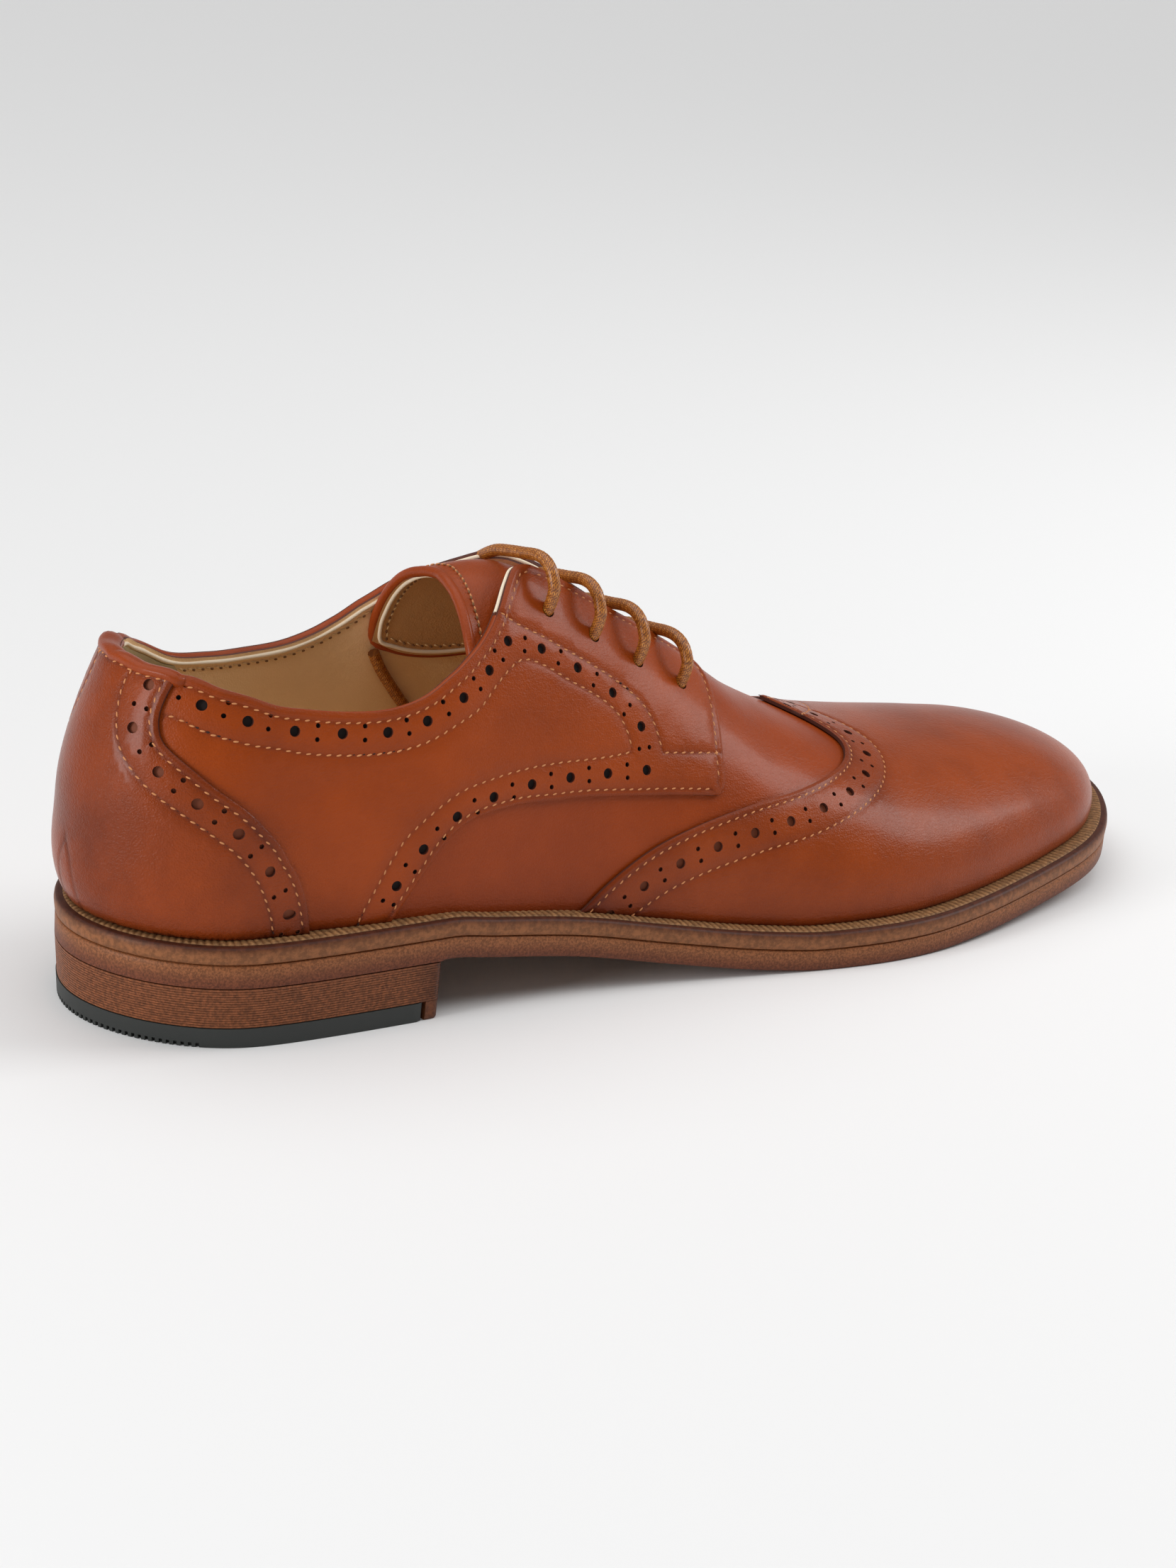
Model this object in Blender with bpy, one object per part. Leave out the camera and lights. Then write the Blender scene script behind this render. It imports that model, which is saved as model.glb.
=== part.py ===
"""A full-brogue derby shoe for the right foot, standing empty on its sole.

The upper is a hollow shell on a last. Every panel on it is cut from one chart of the last's surface,
at its own height over that surface, so neighbouring pieces stay parallel.
"""
import math

import bpy
import numpy as np
from mathutils import Matrix, Vector
from mathutils.geometry import delaunay_2d_cdt

# Driving sizes in metres. +X points to the toe, +Y to the inner side of the foot, +Z up.
LENGTH = 0.304           # outsole, back of the heel to the toe tip
BALL_WIDTH = 0.107       # outsole across the ball
INSTEP_RISE = 0.0687     # ridge of the last over the seat line at the instep
WELT_REVEAL = 0.0055     # how far the forefoot's welt stands out from the vamp
RUBBER = 0.0047          # top piece of the heel
STACK = 0.0096           # heel lifts over the top piece
OUTSOLE = 0.0052         # leather outsole
WELT = 0.0043            # welt strip
TOE_SPRING = 0.0068      # rise of the toe tip over the ball
UPPER_WALL = 0.0014      # body leather with its lining
OVERLAY_WALL = 0.0012    # quarters, counter and wing
CLEARANCE = 0.0003       # between pieces that touch

FORE_SEAT = OUTSOLE + WELT
HEEL_SEAT = FORE_SEAT + STACK + RUBBER
FIRST_LAYER = CLEARANCE
SECOND_LAYER = 2 * CLEARANCE + OVERLAY_WALL

# The last's ribs fan out from a hub in the heel and a hub in the toe, and stand square between them.
HEEL_HUB = 0.122         # share of the length
TOE_HUB = 0.822          # share of the length
HEEL_END = 0.22          # share of the half perimeter where the heel fan ends
TOE_START = 0.74         # share of the half perimeter where the toe fan starts
HUB_BEND = 0.05          # sideways run of the ridge at the toe hub, share of the ball width
HUB_BEND_START = 0.4     # share of the length where that run begins

# Side profile, in shares. Columns: name, x, drop, spring, ridge.
# x: of the length. drop: of the heel's extra height. spring: of the toe spring.
# ridge: height of the last over the seat line, of the instep rise.
PROFILE = (
    ("back", -0.05, 1.00, 0.00, 1.19),
    ("heel", 0.12, 1.00, 0.00, 1.25),
    ("breast", 0.25, 1.00, 0.00, 1.285),
    ("shank", 0.29, 0.89, 0.00, 1.235),
    ("waist", 0.362, 0.68, 0.00, 1.155),
    ("instep", 0.444, 0.35, 0.00, 1.00),
    ("throat", 0.526, 0.08, 0.00, 0.82),
    ("tread_back", 0.576, 0.00, 0.00, 0.69),
    ("ball", 0.632, 0.00, 0.00, 0.575),
    ("tread_front", 0.67, 0.00, 0.01, 0.515),
    ("vamp", 0.74, 0.00, 0.15, 0.437),
    ("toe_hub", 0.822, 0.00, 0.40, 0.365),
    ("toe", 0.93, 0.00, 0.80, 0.265),
    ("tip", 1.00, 0.00, 1.02, 0.18),
    ("beyond", 1.06, 0.00, 1.15, 0.08),
)

# Ribs of the last, in shares. Columns: name, around, x, y, reveal, belly_out, belly_up, shoulder_in, shoulder_up,
# crown. around: of the half perimeter. x: of the length. y: of the ball width.
# reveal: of the welt reveal. belly_out and belly_up: the widest point, of the ball width and of the rib's height.
# shoulder_in and shoulder_up: of the rib's reach and height. crown: of the rib's reach.
OUTER_RIBS = (
    ("back", 0.00, -0.001, 0.000, 1.11, 0.113, 0.17, 0.73, 0.66, 0.45),
    ("back_corner", 0.09, 0.026, -0.205, 1.12, 0.094, 0.17, 0.75, 0.66, 0.45),
    ("heel_corner", 0.17, 0.079, -0.320, 1.20, 0.050, 0.19, 0.84, 0.65, 0.45),
    ("heel_side", 0.22, 0.122, -0.346, 1.27, 0.026, 0.21, 0.90, 0.65, 0.45),
    ("breast", None, 0.247, -0.361, 0.80, 0.020, 0.22, 0.90, 0.68, 0.40),
    ("waist", None, 0.362, -0.374, 0.95, 0.020, 0.22, 0.80, 0.76, 0.38),
    ("instep", None, 0.444, -0.407, 1.15, 0.020, 0.25, 0.79, 0.72, 0.38),
    ("throat", None, 0.526, -0.453, 1.20, 0.022, 0.28, 0.81, 0.70, 0.40),
    ("ball", None, 0.632, -0.503, 1.20, 0.024, 0.33, 0.86, 0.76, 0.42),
    ("vamp", None, 0.740, -0.474, 1.20, 0.024, 0.34, 0.88, 0.79, 0.45),
    ("toe_side", 0.74, 0.822, -0.412, 1.20, 0.020, 0.35, 0.90, 0.79, 0.48),
    ("toe_corner", 0.87, 0.934, -0.262, 1.20, 0.020, 0.35, 0.92, 0.80, 0.50),
    ("tip", 1.00, 0.999, 0.060, 1.20, 0.020, 0.36, 0.92, 0.82, 0.50),
)
INNER_RIBS = (
    ("back_corner", 0.09, 0.026, 0.205, 1.12, 0.094, 0.17, 0.75, 0.66, 0.45),
    ("heel_corner", 0.17, 0.079, 0.320, 1.20, 0.050, 0.19, 0.84, 0.65, 0.45),
    ("heel_side", 0.22, 0.122, 0.342, 1.27, 0.026, 0.21, 0.88, 0.65, 0.45),
    ("breast", None, 0.247, 0.322, 0.80, 0.028, 0.22, 0.90, 0.68, 0.40),
    ("waist", None, 0.362, 0.296, 0.90, 0.037, 0.25, 0.86, 0.74, 0.38),
    ("instep", None, 0.444, 0.315, 1.05, 0.037, 0.28, 0.85, 0.72, 0.38),
    ("throat", None, 0.526, 0.376, 1.15, 0.030, 0.30, 0.83, 0.70, 0.40),
    ("ball", None, 0.632, 0.458, 1.20, 0.024, 0.33, 0.86, 0.76, 0.42),
    ("vamp", None, 0.740, 0.480, 1.20, 0.024, 0.34, 0.88, 0.79, 0.45),
    ("toe_side", 0.74, 0.822, 0.434, 1.20, 0.020, 0.35, 0.90, 0.79, 0.48),
    ("toe_corner", 0.87, 0.943, 0.330, 1.20, 0.020, 0.35, 0.92, 0.80, 0.50),
)


def station(x_share):
    """Share of the half perimeter at a place along the body of the last."""
    along = (x_share - HEEL_HUB) / (TOE_HUB - HEEL_HUB)
    return HEEL_END + (TOE_START - HEEL_END) * along


def closed_spline(knots, values, period):
    """Smooth closed curve through rows of values."""
    knots = np.array(knots)
    values = np.array(values)
    count = len(knots)
    steps = np.diff(np.append(knots, knots[0] + period))
    matrix = np.zeros((count, count))
    sides = np.zeros(values.shape)
    for i in range(count):
        following = (i + 1) % count
        matrix[i, i - 1] += steps[i - 1]
        matrix[i, i] += 2 * (steps[i - 1] + steps[i])
        matrix[i, following] += steps[i]
        rise_after = (values[following] - values[i]) / steps[i]
        rise_before = (values[i] - values[i - 1]) / steps[i - 1]
        sides[i] = 6 * (rise_after - rise_before)
    bends = np.linalg.solve(matrix, sides)

    def curve(place):
        place = (np.asarray(place, float) - knots[0]) % period + knots[0]
        i = np.clip(np.searchsorted(knots, place, side="right") - 1, 0, count - 1)
        j = (i + 1) % count
        step = steps[i][..., None]
        ahead = (place - knots[i])[..., None]
        left = step - ahead
        cubic = (bends[i] * left ** 3 + bends[j] * ahead ** 3) / (6 * step)
        before = (values[i] / step - bends[i] * step / 6) * left
        after = (values[j] / step - bends[j] * step / 6) * ahead
        return cubic + before + after
    return curve


def even_curve(knots, values):
    """Curve through rows of values that never swings past them."""
    knots = np.array(knots)
    values = np.array(values)
    slopes = np.diff(values) / np.diff(knots)
    tangents = np.zeros(len(knots))
    same_way = slopes[:-1] * slopes[1:] > 0
    mean = 2 * slopes[:-1] * slopes[1:] / np.where(same_way, slopes[:-1] + slopes[1:], 1)
    tangents[1:-1] = np.where(same_way, mean, 0)
    tangents[0] = slopes[0]
    tangents[-1] = slopes[-1]

    def curve(place):
        place = np.clip(np.asarray(place, float), knots[0], knots[-1])
        i = np.clip(np.searchsorted(knots, place, side="right") - 1, 0, len(knots) - 2)
        step = knots[i + 1] - knots[i]
        t = (place - knots[i]) / step
        start = (1 + 2 * t) * (1 - t) ** 2 * values[i] + t * (1 - t) ** 2 * step * tangents[i]
        end = t * t * (3 - 2 * t) * values[i + 1] - t * t * (1 - t) * step * tangents[i + 1]
        return start + end
    return curve


profile_x = [row[1] * LENGTH for row in PROFILE]
drop_curve = even_curve(profile_x, [row[2] for row in PROFILE])
spring_curve = even_curve(profile_x, [row[3] for row in PROFILE])
ridge_curve = even_curve(profile_x, [row[4] for row in PROFILE])


def seat(x):
    """Height of the seat line, where the upper meets the welt."""
    return FORE_SEAT + (HEEL_SEAT - FORE_SEAT) * drop_curve(x) + TOE_SPRING * spring_curve(x)


def ridge(x):
    """Height of the last's ridge."""
    return seat(x) + INSTEP_RISE * ridge_curve(x)


def rib_row(row, side):
    around = station(row[2]) if row[1] is None else row[1]
    sizes = (row[2] * LENGTH, row[3] * BALL_WIDTH, row[4] * WELT_REVEAL, row[5] * BALL_WIDTH)
    return (side * around,) + sizes + tuple(row[6:])


rib_rows = [rib_row(row, -1) for row in OUTER_RIBS[:-1]]
rib_rows += [rib_row(OUTER_RIBS[-1], 1)]
rib_rows += [rib_row(row, 1) for row in INNER_RIBS]
rib_rows.sort()
rib_curve = closed_spline([row[0] for row in rib_rows], [row[1:] for row in rib_rows], 2)


def outline(around):
    """The sole's edge in plan. around runs from -1 over the outer side, 0 at the back, to 1."""
    return rib_curve(around)[..., :2]


def hub(around, x):
    """Foot of a rib's fan: fixed in heel and toe, level with the rib between them."""
    away = np.abs(around)
    x = np.where(away < HEEL_END, HEEL_HUB * LENGTH, np.where(away > TOE_START, TOE_HUB * LENGTH, x))
    run = np.clip((x / LENGTH - HUB_BEND_START) / (TOE_HUB - HUB_BEND_START), 0, 1)
    return x, HUB_BEND * BALL_WIDTH * run * run * (3 - 2 * run)


def last_point(around, up):
    """A point of the last's surface: up is 0 at the seat line and 1 on the ridge."""
    around, up = np.broadcast_arrays(np.asarray(around, float), np.asarray(up, float))
    columns = np.moveaxis(rib_curve(around), -1, 0)
    x, y, reveal, belly_out, belly_up, shoulder_in, shoulder_up, crown = columns
    hub_x, hub_y = hub(around, x)
    reach = np.hypot(x - hub_x, y - hub_y)
    foot = reach - reveal
    belly = foot + belly_out
    low = 1 - up
    weights = (low ** 4, 4 * low ** 3 * up, 6 * low ** 2 * up ** 2, 4 * low * up ** 3, up ** 4)
    out = weights[0] * foot + weights[1] * belly + weights[2] * belly * shoulder_in + weights[3] * foot * crown
    lift = weights[1] * belly_up + weights[2] * shoulder_up + weights[3] + weights[4]
    px = hub_x + (x - hub_x) / reach * out
    py = hub_y + (y - hub_y) / reach * out
    base = seat(x) + CLEARANCE
    return np.stack([px, py, base + (ridge(px) - base) * lift], -1)


# The chart is a flat map of the last: square ribs between two half discs.
CHART_REACH = 0.085      # from the ridge to the seat line
CHART_STEP = 0.0001      # for slopes
LEVEL_FOOT = 0.12        # share of a rib over which a wall turns level at its foot


def chart_place(around, up):
    """Flat place in the chart of a rib's share and height."""
    around = np.asarray(around, float)
    away = np.abs(around)
    out = (1 - np.asarray(up, float)) * CHART_REACH
    side = np.where(around < 0, -1, 1)
    heel_turn = np.pi / 2 * away / HEEL_END
    toe_turn = np.pi / 2 * (1 - away) / (1 - TOE_START)
    body_x = LENGTH * (HEEL_HUB + (TOE_HUB - HEEL_HUB) * (away - HEEL_END) / (TOE_START - HEEL_END))
    heel = away < HEEL_END
    toe = away > TOE_START
    x = np.where(heel, HEEL_HUB * LENGTH - out * np.cos(heel_turn), body_x)
    x = np.where(toe, TOE_HUB * LENGTH + out * np.cos(toe_turn), x)
    y = np.where(heel, out * np.sin(heel_turn), np.where(toe, out * np.sin(toe_turn), out))
    return np.stack([x, side * y], -1)


def chart_rib(place):
    """Rib's share and height of a flat place in the chart."""
    place = np.asarray(place, float)
    x = place[..., 0] - HEEL_HUB * LENGTH
    y = np.abs(place[..., 1])
    span = (TOE_HUB - HEEL_HUB) * LENGTH
    heel = x < 0
    toe = x > span
    out = np.where(heel, np.hypot(x, y), np.where(toe, np.hypot(x - span, y), y))
    heel_share = HEEL_END * np.arctan2(y, -x) / (np.pi / 2)
    toe_share = 1 - (1 - TOE_START) * np.arctan2(y, x - span) / (np.pi / 2)
    body_share = HEEL_END + (TOE_START - HEEL_END) * x / span
    away = np.where(heel, heel_share, np.where(toe, toe_share, body_share))
    return np.where(place[..., 1] < 0, -away, away), 1 - out / CHART_REACH


def chart_point(place):
    return last_point(*chart_rib(place))


def surface(place, over=0.0):
    """The last's surface at a flat place of the chart, moved out by over, level at the seat line."""
    place = np.asarray(place, float)
    step_x = np.array([CHART_STEP, 0])
    step_y = np.array([0, CHART_STEP])
    along_x = chart_point(place + step_x) - chart_point(place - step_x)
    along_y = chart_point(place + step_y) - chart_point(place - step_y)
    normal = np.cross(along_x, along_y)
    normal /= np.linalg.norm(normal, axis=-1, keepdims=True)
    up = np.maximum(chart_rib(place)[1], 0)
    normal[..., 2] *= np.minimum(up / LEVEL_FOOT, 1)
    normal /= np.linalg.norm(normal, axis=-1, keepdims=True)
    point = chart_point(place) + np.asarray(over)[..., None] * normal
    foot = seat(point[..., 0]) + CLEARANCE
    point[..., 2] = np.where(up < 0.001, foot, np.maximum(point[..., 2], foot))
    return point


# Outlines on the chart. Columns: around, up, both shares as in the ribs. Both sides mirror unless a name says so.
COLLAR_BACK = ((0.096, 0.553), (0.050, 0.563), (0.000, 0.567))
OUTER_COLLAR = (
    (0.096, 0.553), (0.149, 0.530), (0.205, 0.495), (0.238, 0.470), (0.265, 0.452), (0.285, 0.447),
    (0.305, 0.460), (0.323, 0.495), (0.336, 0.538), (0.349, 0.590), (0.359, 0.645), (0.371, 0.730),
    (0.380, 0.785), (0.392, 0.812),
)
INNER_COLLAR = (
    (0.096, 0.553), (0.149, 0.520), (0.205, 0.470), (0.244, 0.446), (0.266, 0.440), (0.295, 0.442),
    (0.319, 0.474), (0.334, 0.532), (0.350, 0.600), (0.370, 0.663), (0.384, 0.718), (0.396, 0.780),
    (0.408, 0.832),
)
OUTER_FACING = ((0.392, 0.812), (0.415, 0.815), (0.440, 0.828), (0.465, 0.850), (0.490, 0.872), (0.508, 0.885))
INNER_FACING = ((0.408, 0.832), (0.425, 0.865), (0.445, 0.875), (0.465, 0.880), (0.490, 0.882), (0.508, 0.885))
FRONT_EDGE = ((0.508, 0.885), (0.516, 0.850), (0.517, 0.790), (0.514, 0.715), (0.509, 0.610), (0.504, 0.500),
              (0.501, 0.420), (0.496, 0.382))
LOWER_EDGE = ((0.496, 0.382), (0.465, 0.345), (0.425, 0.300), (0.387, 0.272), (0.355, 0.258), (0.330, 0.230),
              (0.311, 0.180), (0.300, 0.120), (0.291, 0.060), (0.284, 0.000))
COUNTER_EDGE = ((0.096, 0.553), (0.086, 0.510), (0.083, 0.475), (0.088, 0.442), (0.103, 0.415), (0.145, 0.355),
                (0.192, 0.275), (0.212, 0.222), (0.225, 0.160), (0.232, 0.090), (0.236, 0.000))
WING_EDGE = ((0.404, 0.000), (0.418, 0.080), (0.445, 0.185), (0.478, 0.280), (0.512, 0.370), (0.550, 0.470),
             (0.583, 0.570), (0.608, 0.680), (0.618, 0.780), (0.612, 0.880), (0.600, 0.950), (0.590, 1.000))
TONGUE_SIDE = ((0.341, 0.460), (0.362, 0.440), (0.390, 0.450), (0.430, 0.520), (0.480, 0.620), (0.530, 0.720),
               (0.552, 0.780))
TONGUE_END = ((0.341, 0.460), (0.342, 0.560), (0.345, 0.700), (0.349, 0.850), (0.352, 1.000))
TONGUE_FRONT = ((0.552, 0.780), (0.562, 0.880), (0.564, 1.000))
THROAT_END = 0.500       # share of the half perimeter where the slot between the facings stops
THROAT_ROUND = 0.012     # share of the half perimeter by which it runs further in the middle
EYELETS = ((0.394, 0.670), (0.425, 0.660), (0.456, 0.665), (0.487, 0.677))
EYELET_RADIUS = 0.0017
EYELET_SIDES = 8

TONGUE_WALL = 0.0022     # leather, padding and lining
TONGUE_FLAT = 0.0035     # how far it lies under the last's ridge between the facings
TONGUE_DROOP = 0.008     # how much further its free end sinks into the collar
TONGUE_EDGE = 0.45       # share of a rib where its sides lie against the lining
TONGUE_FREE = 0.375      # share of the length behind which it is free
TONGUE_FREE_RUN = 0.08   # share of the length over which it droops

INSOLE = 0.0035          # insole board and sock over the seat line
WELT_SEAT = 0.012        # the welt's width under the upper
OUTSOLE_INSET = 0.0002   # groove between welt and outsole
BREAST = 0.2445          # front of the heel, share of the length
BREAST_SHARE = 0.33      # share of the half perimeter just past the heel's front
HEEL_NOSE = 0.010        # lifts in front of the rubber
HEEL_TAPER = 0.0009      # how far the heel draws in towards the floor
HEEL_CORNER = 0.002      # clear of the heel's front corners
HEEL_POINTS = 61

LACE_RADIUS = 0.0015
BAR_RISES = (0.0118, 0.0121, 0.0117, 0.0105)   # of each bar's middle over its eyelets, from the collar on
BAR_BEND = 2 / 3         # power of its arch: 1 is an ellipse, less is squarer
BAR_POINTS = 19
LACE_POINT_STEP = 0.003
LACE_END = ((0.344, 0.430), (0.350, 0.395), (0.360, 0.350), (0.372, 0.300), (0.386, 0.240), (0.398, 0.170),
            (0.405, 0.100))

SOLE_MESH = 0.014        # spacing of the sole's points
CHART_MESH = 0.011       # spacing of the chart's points
EDGE_MESH = 0.008        # spacing along outlines
FOOT_MESH = 0.011        # spacing along the seat line
MESH_KEEP = 0.55         # how near to an outline a free point may lie, share of the spacing
SAMPLES = 13             # along one span of a smooth line
SLACK = 1e-6             # for comparing shares


def smooth_line(points, spacing):
    """Points along a smooth open curve through the given points, flat or in space."""
    points = np.array(points)
    steps = np.linalg.norm(np.diff(points, axis=0), axis=1)
    knots = np.append(0, np.cumsum(np.sqrt(steps)))
    tangents = np.gradient(points, knots, axis=0)
    fine = []
    for i in range(len(points) - 1):
        span = knots[i + 1] - knots[i]
        t = np.linspace(0, 1, SAMPLES)[:, None]
        start = (1 + 2 * t) * (1 - t) ** 2 * points[i] + t * (1 - t) ** 2 * span * tangents[i]
        end = t * t * (3 - 2 * t) * points[i + 1] - t * t * (1 - t) * span * tangents[i + 1]
        fine.append((start + end)[:-1])
    fine = np.vstack(fine + [points[-1:]])
    lengths = np.append(0, np.cumsum(np.linalg.norm(np.diff(fine, axis=0), axis=1)))
    count = max(1, round(lengths[-1] / spacing))
    wanted = np.linspace(0, lengths[-1], count + 1)
    return np.stack([np.interp(wanted, lengths, column) for column in fine.T], -1)


def chart_line(rows, side, spacing=EDGE_MESH):
    """Smooth line on the chart through rows of around and up, on the outer (-1) or inner (1) side."""
    places = [chart_place(side * row[0], row[1]) for row in rows]
    return smooth_line(places, spacing)


def joined(*lines):
    """One closed outline from lines that follow each other, without the doubled ends."""
    return np.vstack([line[:-1] for line in lines])


def foot_shares():
    """Shares of the perimeter along the seat line, with every panel's end among them."""
    ends = [rows[i][0] for rows, i in ((COUNTER_EDGE, -1), (LOWER_EDGE, -1), (WING_EDGE, 0))]
    breaks = sorted([-1, 0, 1] + ends + [-end for end in ends])
    shares = [breaks[0]]
    for low, high in zip(breaks[:-1], breaks[1:]):
        feet = last_point(np.linspace(low, high, SAMPLES), 0)
        length = np.linalg.norm(np.diff(feet, axis=0), axis=1).sum()
        count = max(1, round(length / FOOT_MESH))
        shares += list(np.linspace(low, high, count + 1)[1:])
    return np.array(shares)


def foot_run(start, end):
    """The seat line on the chart with around growing from start to end, over the toe tip where it must."""
    shares = foot_shares()
    if start < end:
        return chart_place(shares[(shares > start - SLACK) & (shares < end + SLACK)], 0)
    before = shares[shares > start - SLACK]
    after = shares[(shares < end + SLACK) & (shares > -1 + SLACK)]
    return chart_place(np.append(before, after), 0)


def round_hole(place, radius, sides):
    """Flat outline that becomes a round hole on the last."""
    step = CHART_STEP
    grow_x = np.linalg.norm(chart_point(place + np.array([step, 0])) - chart_point(place)) / step
    grow_y = np.linalg.norm(chart_point(place + np.array([0, step])) - chart_point(place)) / step
    turn = np.arange(sides) * 2 * np.pi / sides
    return place + np.stack([np.cos(turn) * radius / grow_x, np.sin(turn) * radius / grow_y], -1)


def inside(places, loop):
    """Which flat places lie inside a closed outline."""
    x, y = places[:, 0], places[:, 1]
    found = np.zeros(len(places), bool)
    for (ax, ay), (bx, by) in zip(loop, np.roll(loop, -1, axis=0)):
        crosses = (ay > y) != (by > y)
        rise = by - ay if by != ay else 1
        found ^= crosses & (x < (bx - ax) * (y - ay) / rise + ax)
    return found


def triangle_mesh(loops, spacing):
    """Triangles over all the loops' area that keep every loop as edges."""
    points = []
    edges = []
    for loop in loops:
        first = len(points)
        points += [Vector(place) for place in loop]
        edges += [(first + i, first + (i + 1) % len(loop)) for i in range(len(loop))]
    outline_points = np.vstack(loops)
    low = outline_points.min(0)
    high = outline_points.max(0)
    row_height = spacing * math.sqrt(3) / 2
    rows = int((high[1] - low[1]) / row_height) + 1
    columns = int((high[0] - low[0]) / spacing) + 2
    for row in range(rows):
        for column in range(columns):
            shift = spacing / 2 if row % 2 else 0
            place = low + np.array([column * spacing - shift, (row + 0.5) * row_height])
            if np.linalg.norm(outline_points - place, axis=1).min() > spacing * MESH_KEEP:
                points.append(Vector(place))
    made = delaunay_2d_cdt(points, edges, [], 0, SLACK)
    return np.array([tuple(v) for v in made[0]]), np.array(made[2])


def material(name, colour, roughness):
    finish = bpy.data.materials.new(name)
    finish.use_nodes = True
    shader = finish.node_tree.nodes["Principled BSDF"]
    shader.inputs["Base Color"].default_value = (*colour, 1)
    shader.inputs["Roughness"].default_value = roughness
    shader.inputs["Metallic"].default_value = 0
    return finish


def solid(name, points, faces, finish, smooth=True):
    """One closed body as an object of its own."""
    mesh = bpy.data.meshes.new(name)
    mesh.from_pydata([tuple(map(float, point)) for point in points], [], [tuple(map(int, face)) for face in faces])
    mesh.validate()
    if smooth:
        mesh.shade_smooth()
        mesh.set_sharp_from_angle(angle=math.radians(40))
    mesh.materials.append(finish)
    thing = bpy.data.objects.new(name, mesh)
    bpy.context.collection.objects.link(thing)
    return thing


def shell(name, triangles, lower, upper, finish):
    """A wall between two like sets of points, closed along every free edge of its triangles."""
    used = np.unique(triangles)
    place = {old: new for new, old in enumerate(used)}
    count = len(used)
    faces = []
    directed = set()
    for triangle in triangles:
        a, b, c = (place[i] for i in triangle)
        faces.append((a + count, b + count, c + count))
        faces.append((c, b, a))
        directed.update(((a, b), (b, c), (c, a)))
    for a, b in sorted(directed):
        if (b, a) not in directed:
            faces.append((a, b, b + count))
            faces.append((a, b + count, a + count))
    return solid(name, np.vstack([lower[used], upper[used]]), faces, finish)


def pieces_of_upper():
    """Outlines on the chart of the upper's panels, from shared lines so that their edges agree."""
    back = smooth_line([chart_place(-COLLAR_BACK[0][0], COLLAR_BACK[0][1]),
                        chart_place(-COLLAR_BACK[1][0], COLLAR_BACK[1][1]),
                        chart_place(0, COLLAR_BACK[2][1])], EDGE_MESH)
    mirrored = back[::-1] * np.array([1, -1])
    seam = smooth_line([chart_place(0, 0), chart_place(0, COLLAR_BACK[2][1])], EDGE_MESH)
    foot = {"counter": COUNTER_EDGE[-1][0], "quarter": LOWER_EDGE[-1][0], "wing": WING_EDGE[0][0]}
    loops = {}
    quarters = (("quarter_outer", -1, OUTER_COLLAR, OUTER_FACING), ("quarter_inner", 1, INNER_COLLAR, INNER_FACING))
    slot = []
    for name, side, collar_rows, facing_rows in quarters:
        collar = chart_line(collar_rows, side)
        facing = chart_line(facing_rows, side)
        front = chart_line(FRONT_EDGE, side)
        lower = chart_line(LOWER_EDGE, side)
        half_back = back[::-1] if side < 0 else mirrored
        foot_back = foot_run(-foot["quarter"], 0) if side < 0 else foot_run(0, foot["quarter"])[::-1]
        loops[name] = joined(seam, half_back, collar, facing, front, lower, foot_back)
        keep = np.abs(chart_rib(facing)[0]) < THROAT_END
        slot.append(np.vstack([collar[:-1], facing[keep]]))
    end = smooth_line([slot[0][-1], chart_place(THROAT_END + THROAT_ROUND, 1), slot[1][-1]], EDGE_MESH)
    loops["opening"] = joined(back, mirrored, slot[1], end[::-1], slot[0][::-1])
    counter_outer = chart_line(COUNTER_EDGE, -1)
    counter_inner = chart_line(COUNTER_EDGE, 1)
    counter_foot = foot_run(-foot["counter"], foot["counter"])
    loops["heel_counter"] = joined(back, mirrored, counter_inner, counter_foot[::-1], counter_outer[::-1])
    wing_outer = chart_line(WING_EDGE, -1)
    wing_inner = chart_line(WING_EDGE, 1)
    wing_foot = foot_run(foot["wing"], -foot["wing"])
    loops["toe_wing"] = joined(wing_outer, wing_inner[::-1], wing_foot)
    tongue_lines = [chart_line(TONGUE_END, -1)[::-1], chart_line(TONGUE_SIDE, -1), chart_line(TONGUE_FRONT, -1),
                    chart_line(TONGUE_FRONT, 1)[::-1], chart_line(TONGUE_SIDE, 1)[::-1], chart_line(TONGUE_END, 1)]
    loops["tongue"] = joined(*tongue_lines)
    loops["upper"] = foot_run(-1, 1)[:-1]
    for number, (around, up) in enumerate(EYELETS, 1):
        for word, side in (("outer", -1), ("inner", 1)):
            place = chart_place(side * around, up)
            loops[f"eyelet_{word}_{number}"] = round_hole(place, EYELET_RADIUS, EYELET_SIDES)
    return loops


def tongue_skin(places, depth):
    """The tongue lies under the facings, flat between them, and its free end droops into the collar."""
    behind = np.clip((TONGUE_FREE * LENGTH - places[:, 0]) / (TONGUE_FREE_RUN * LENGTH), 0, 1)
    up = np.clip((chart_rib(places)[1] - TONGUE_EDGE) / (1 - TONGUE_EDGE), 0, 1)
    points = surface(places, -UPPER_WALL - CLEARANCE - depth)
    points[:, 2] -= (TONGUE_FLAT + TONGUE_DROOP * behind ** 2) * up * up * (3 - 2 * up)
    return points


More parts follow.
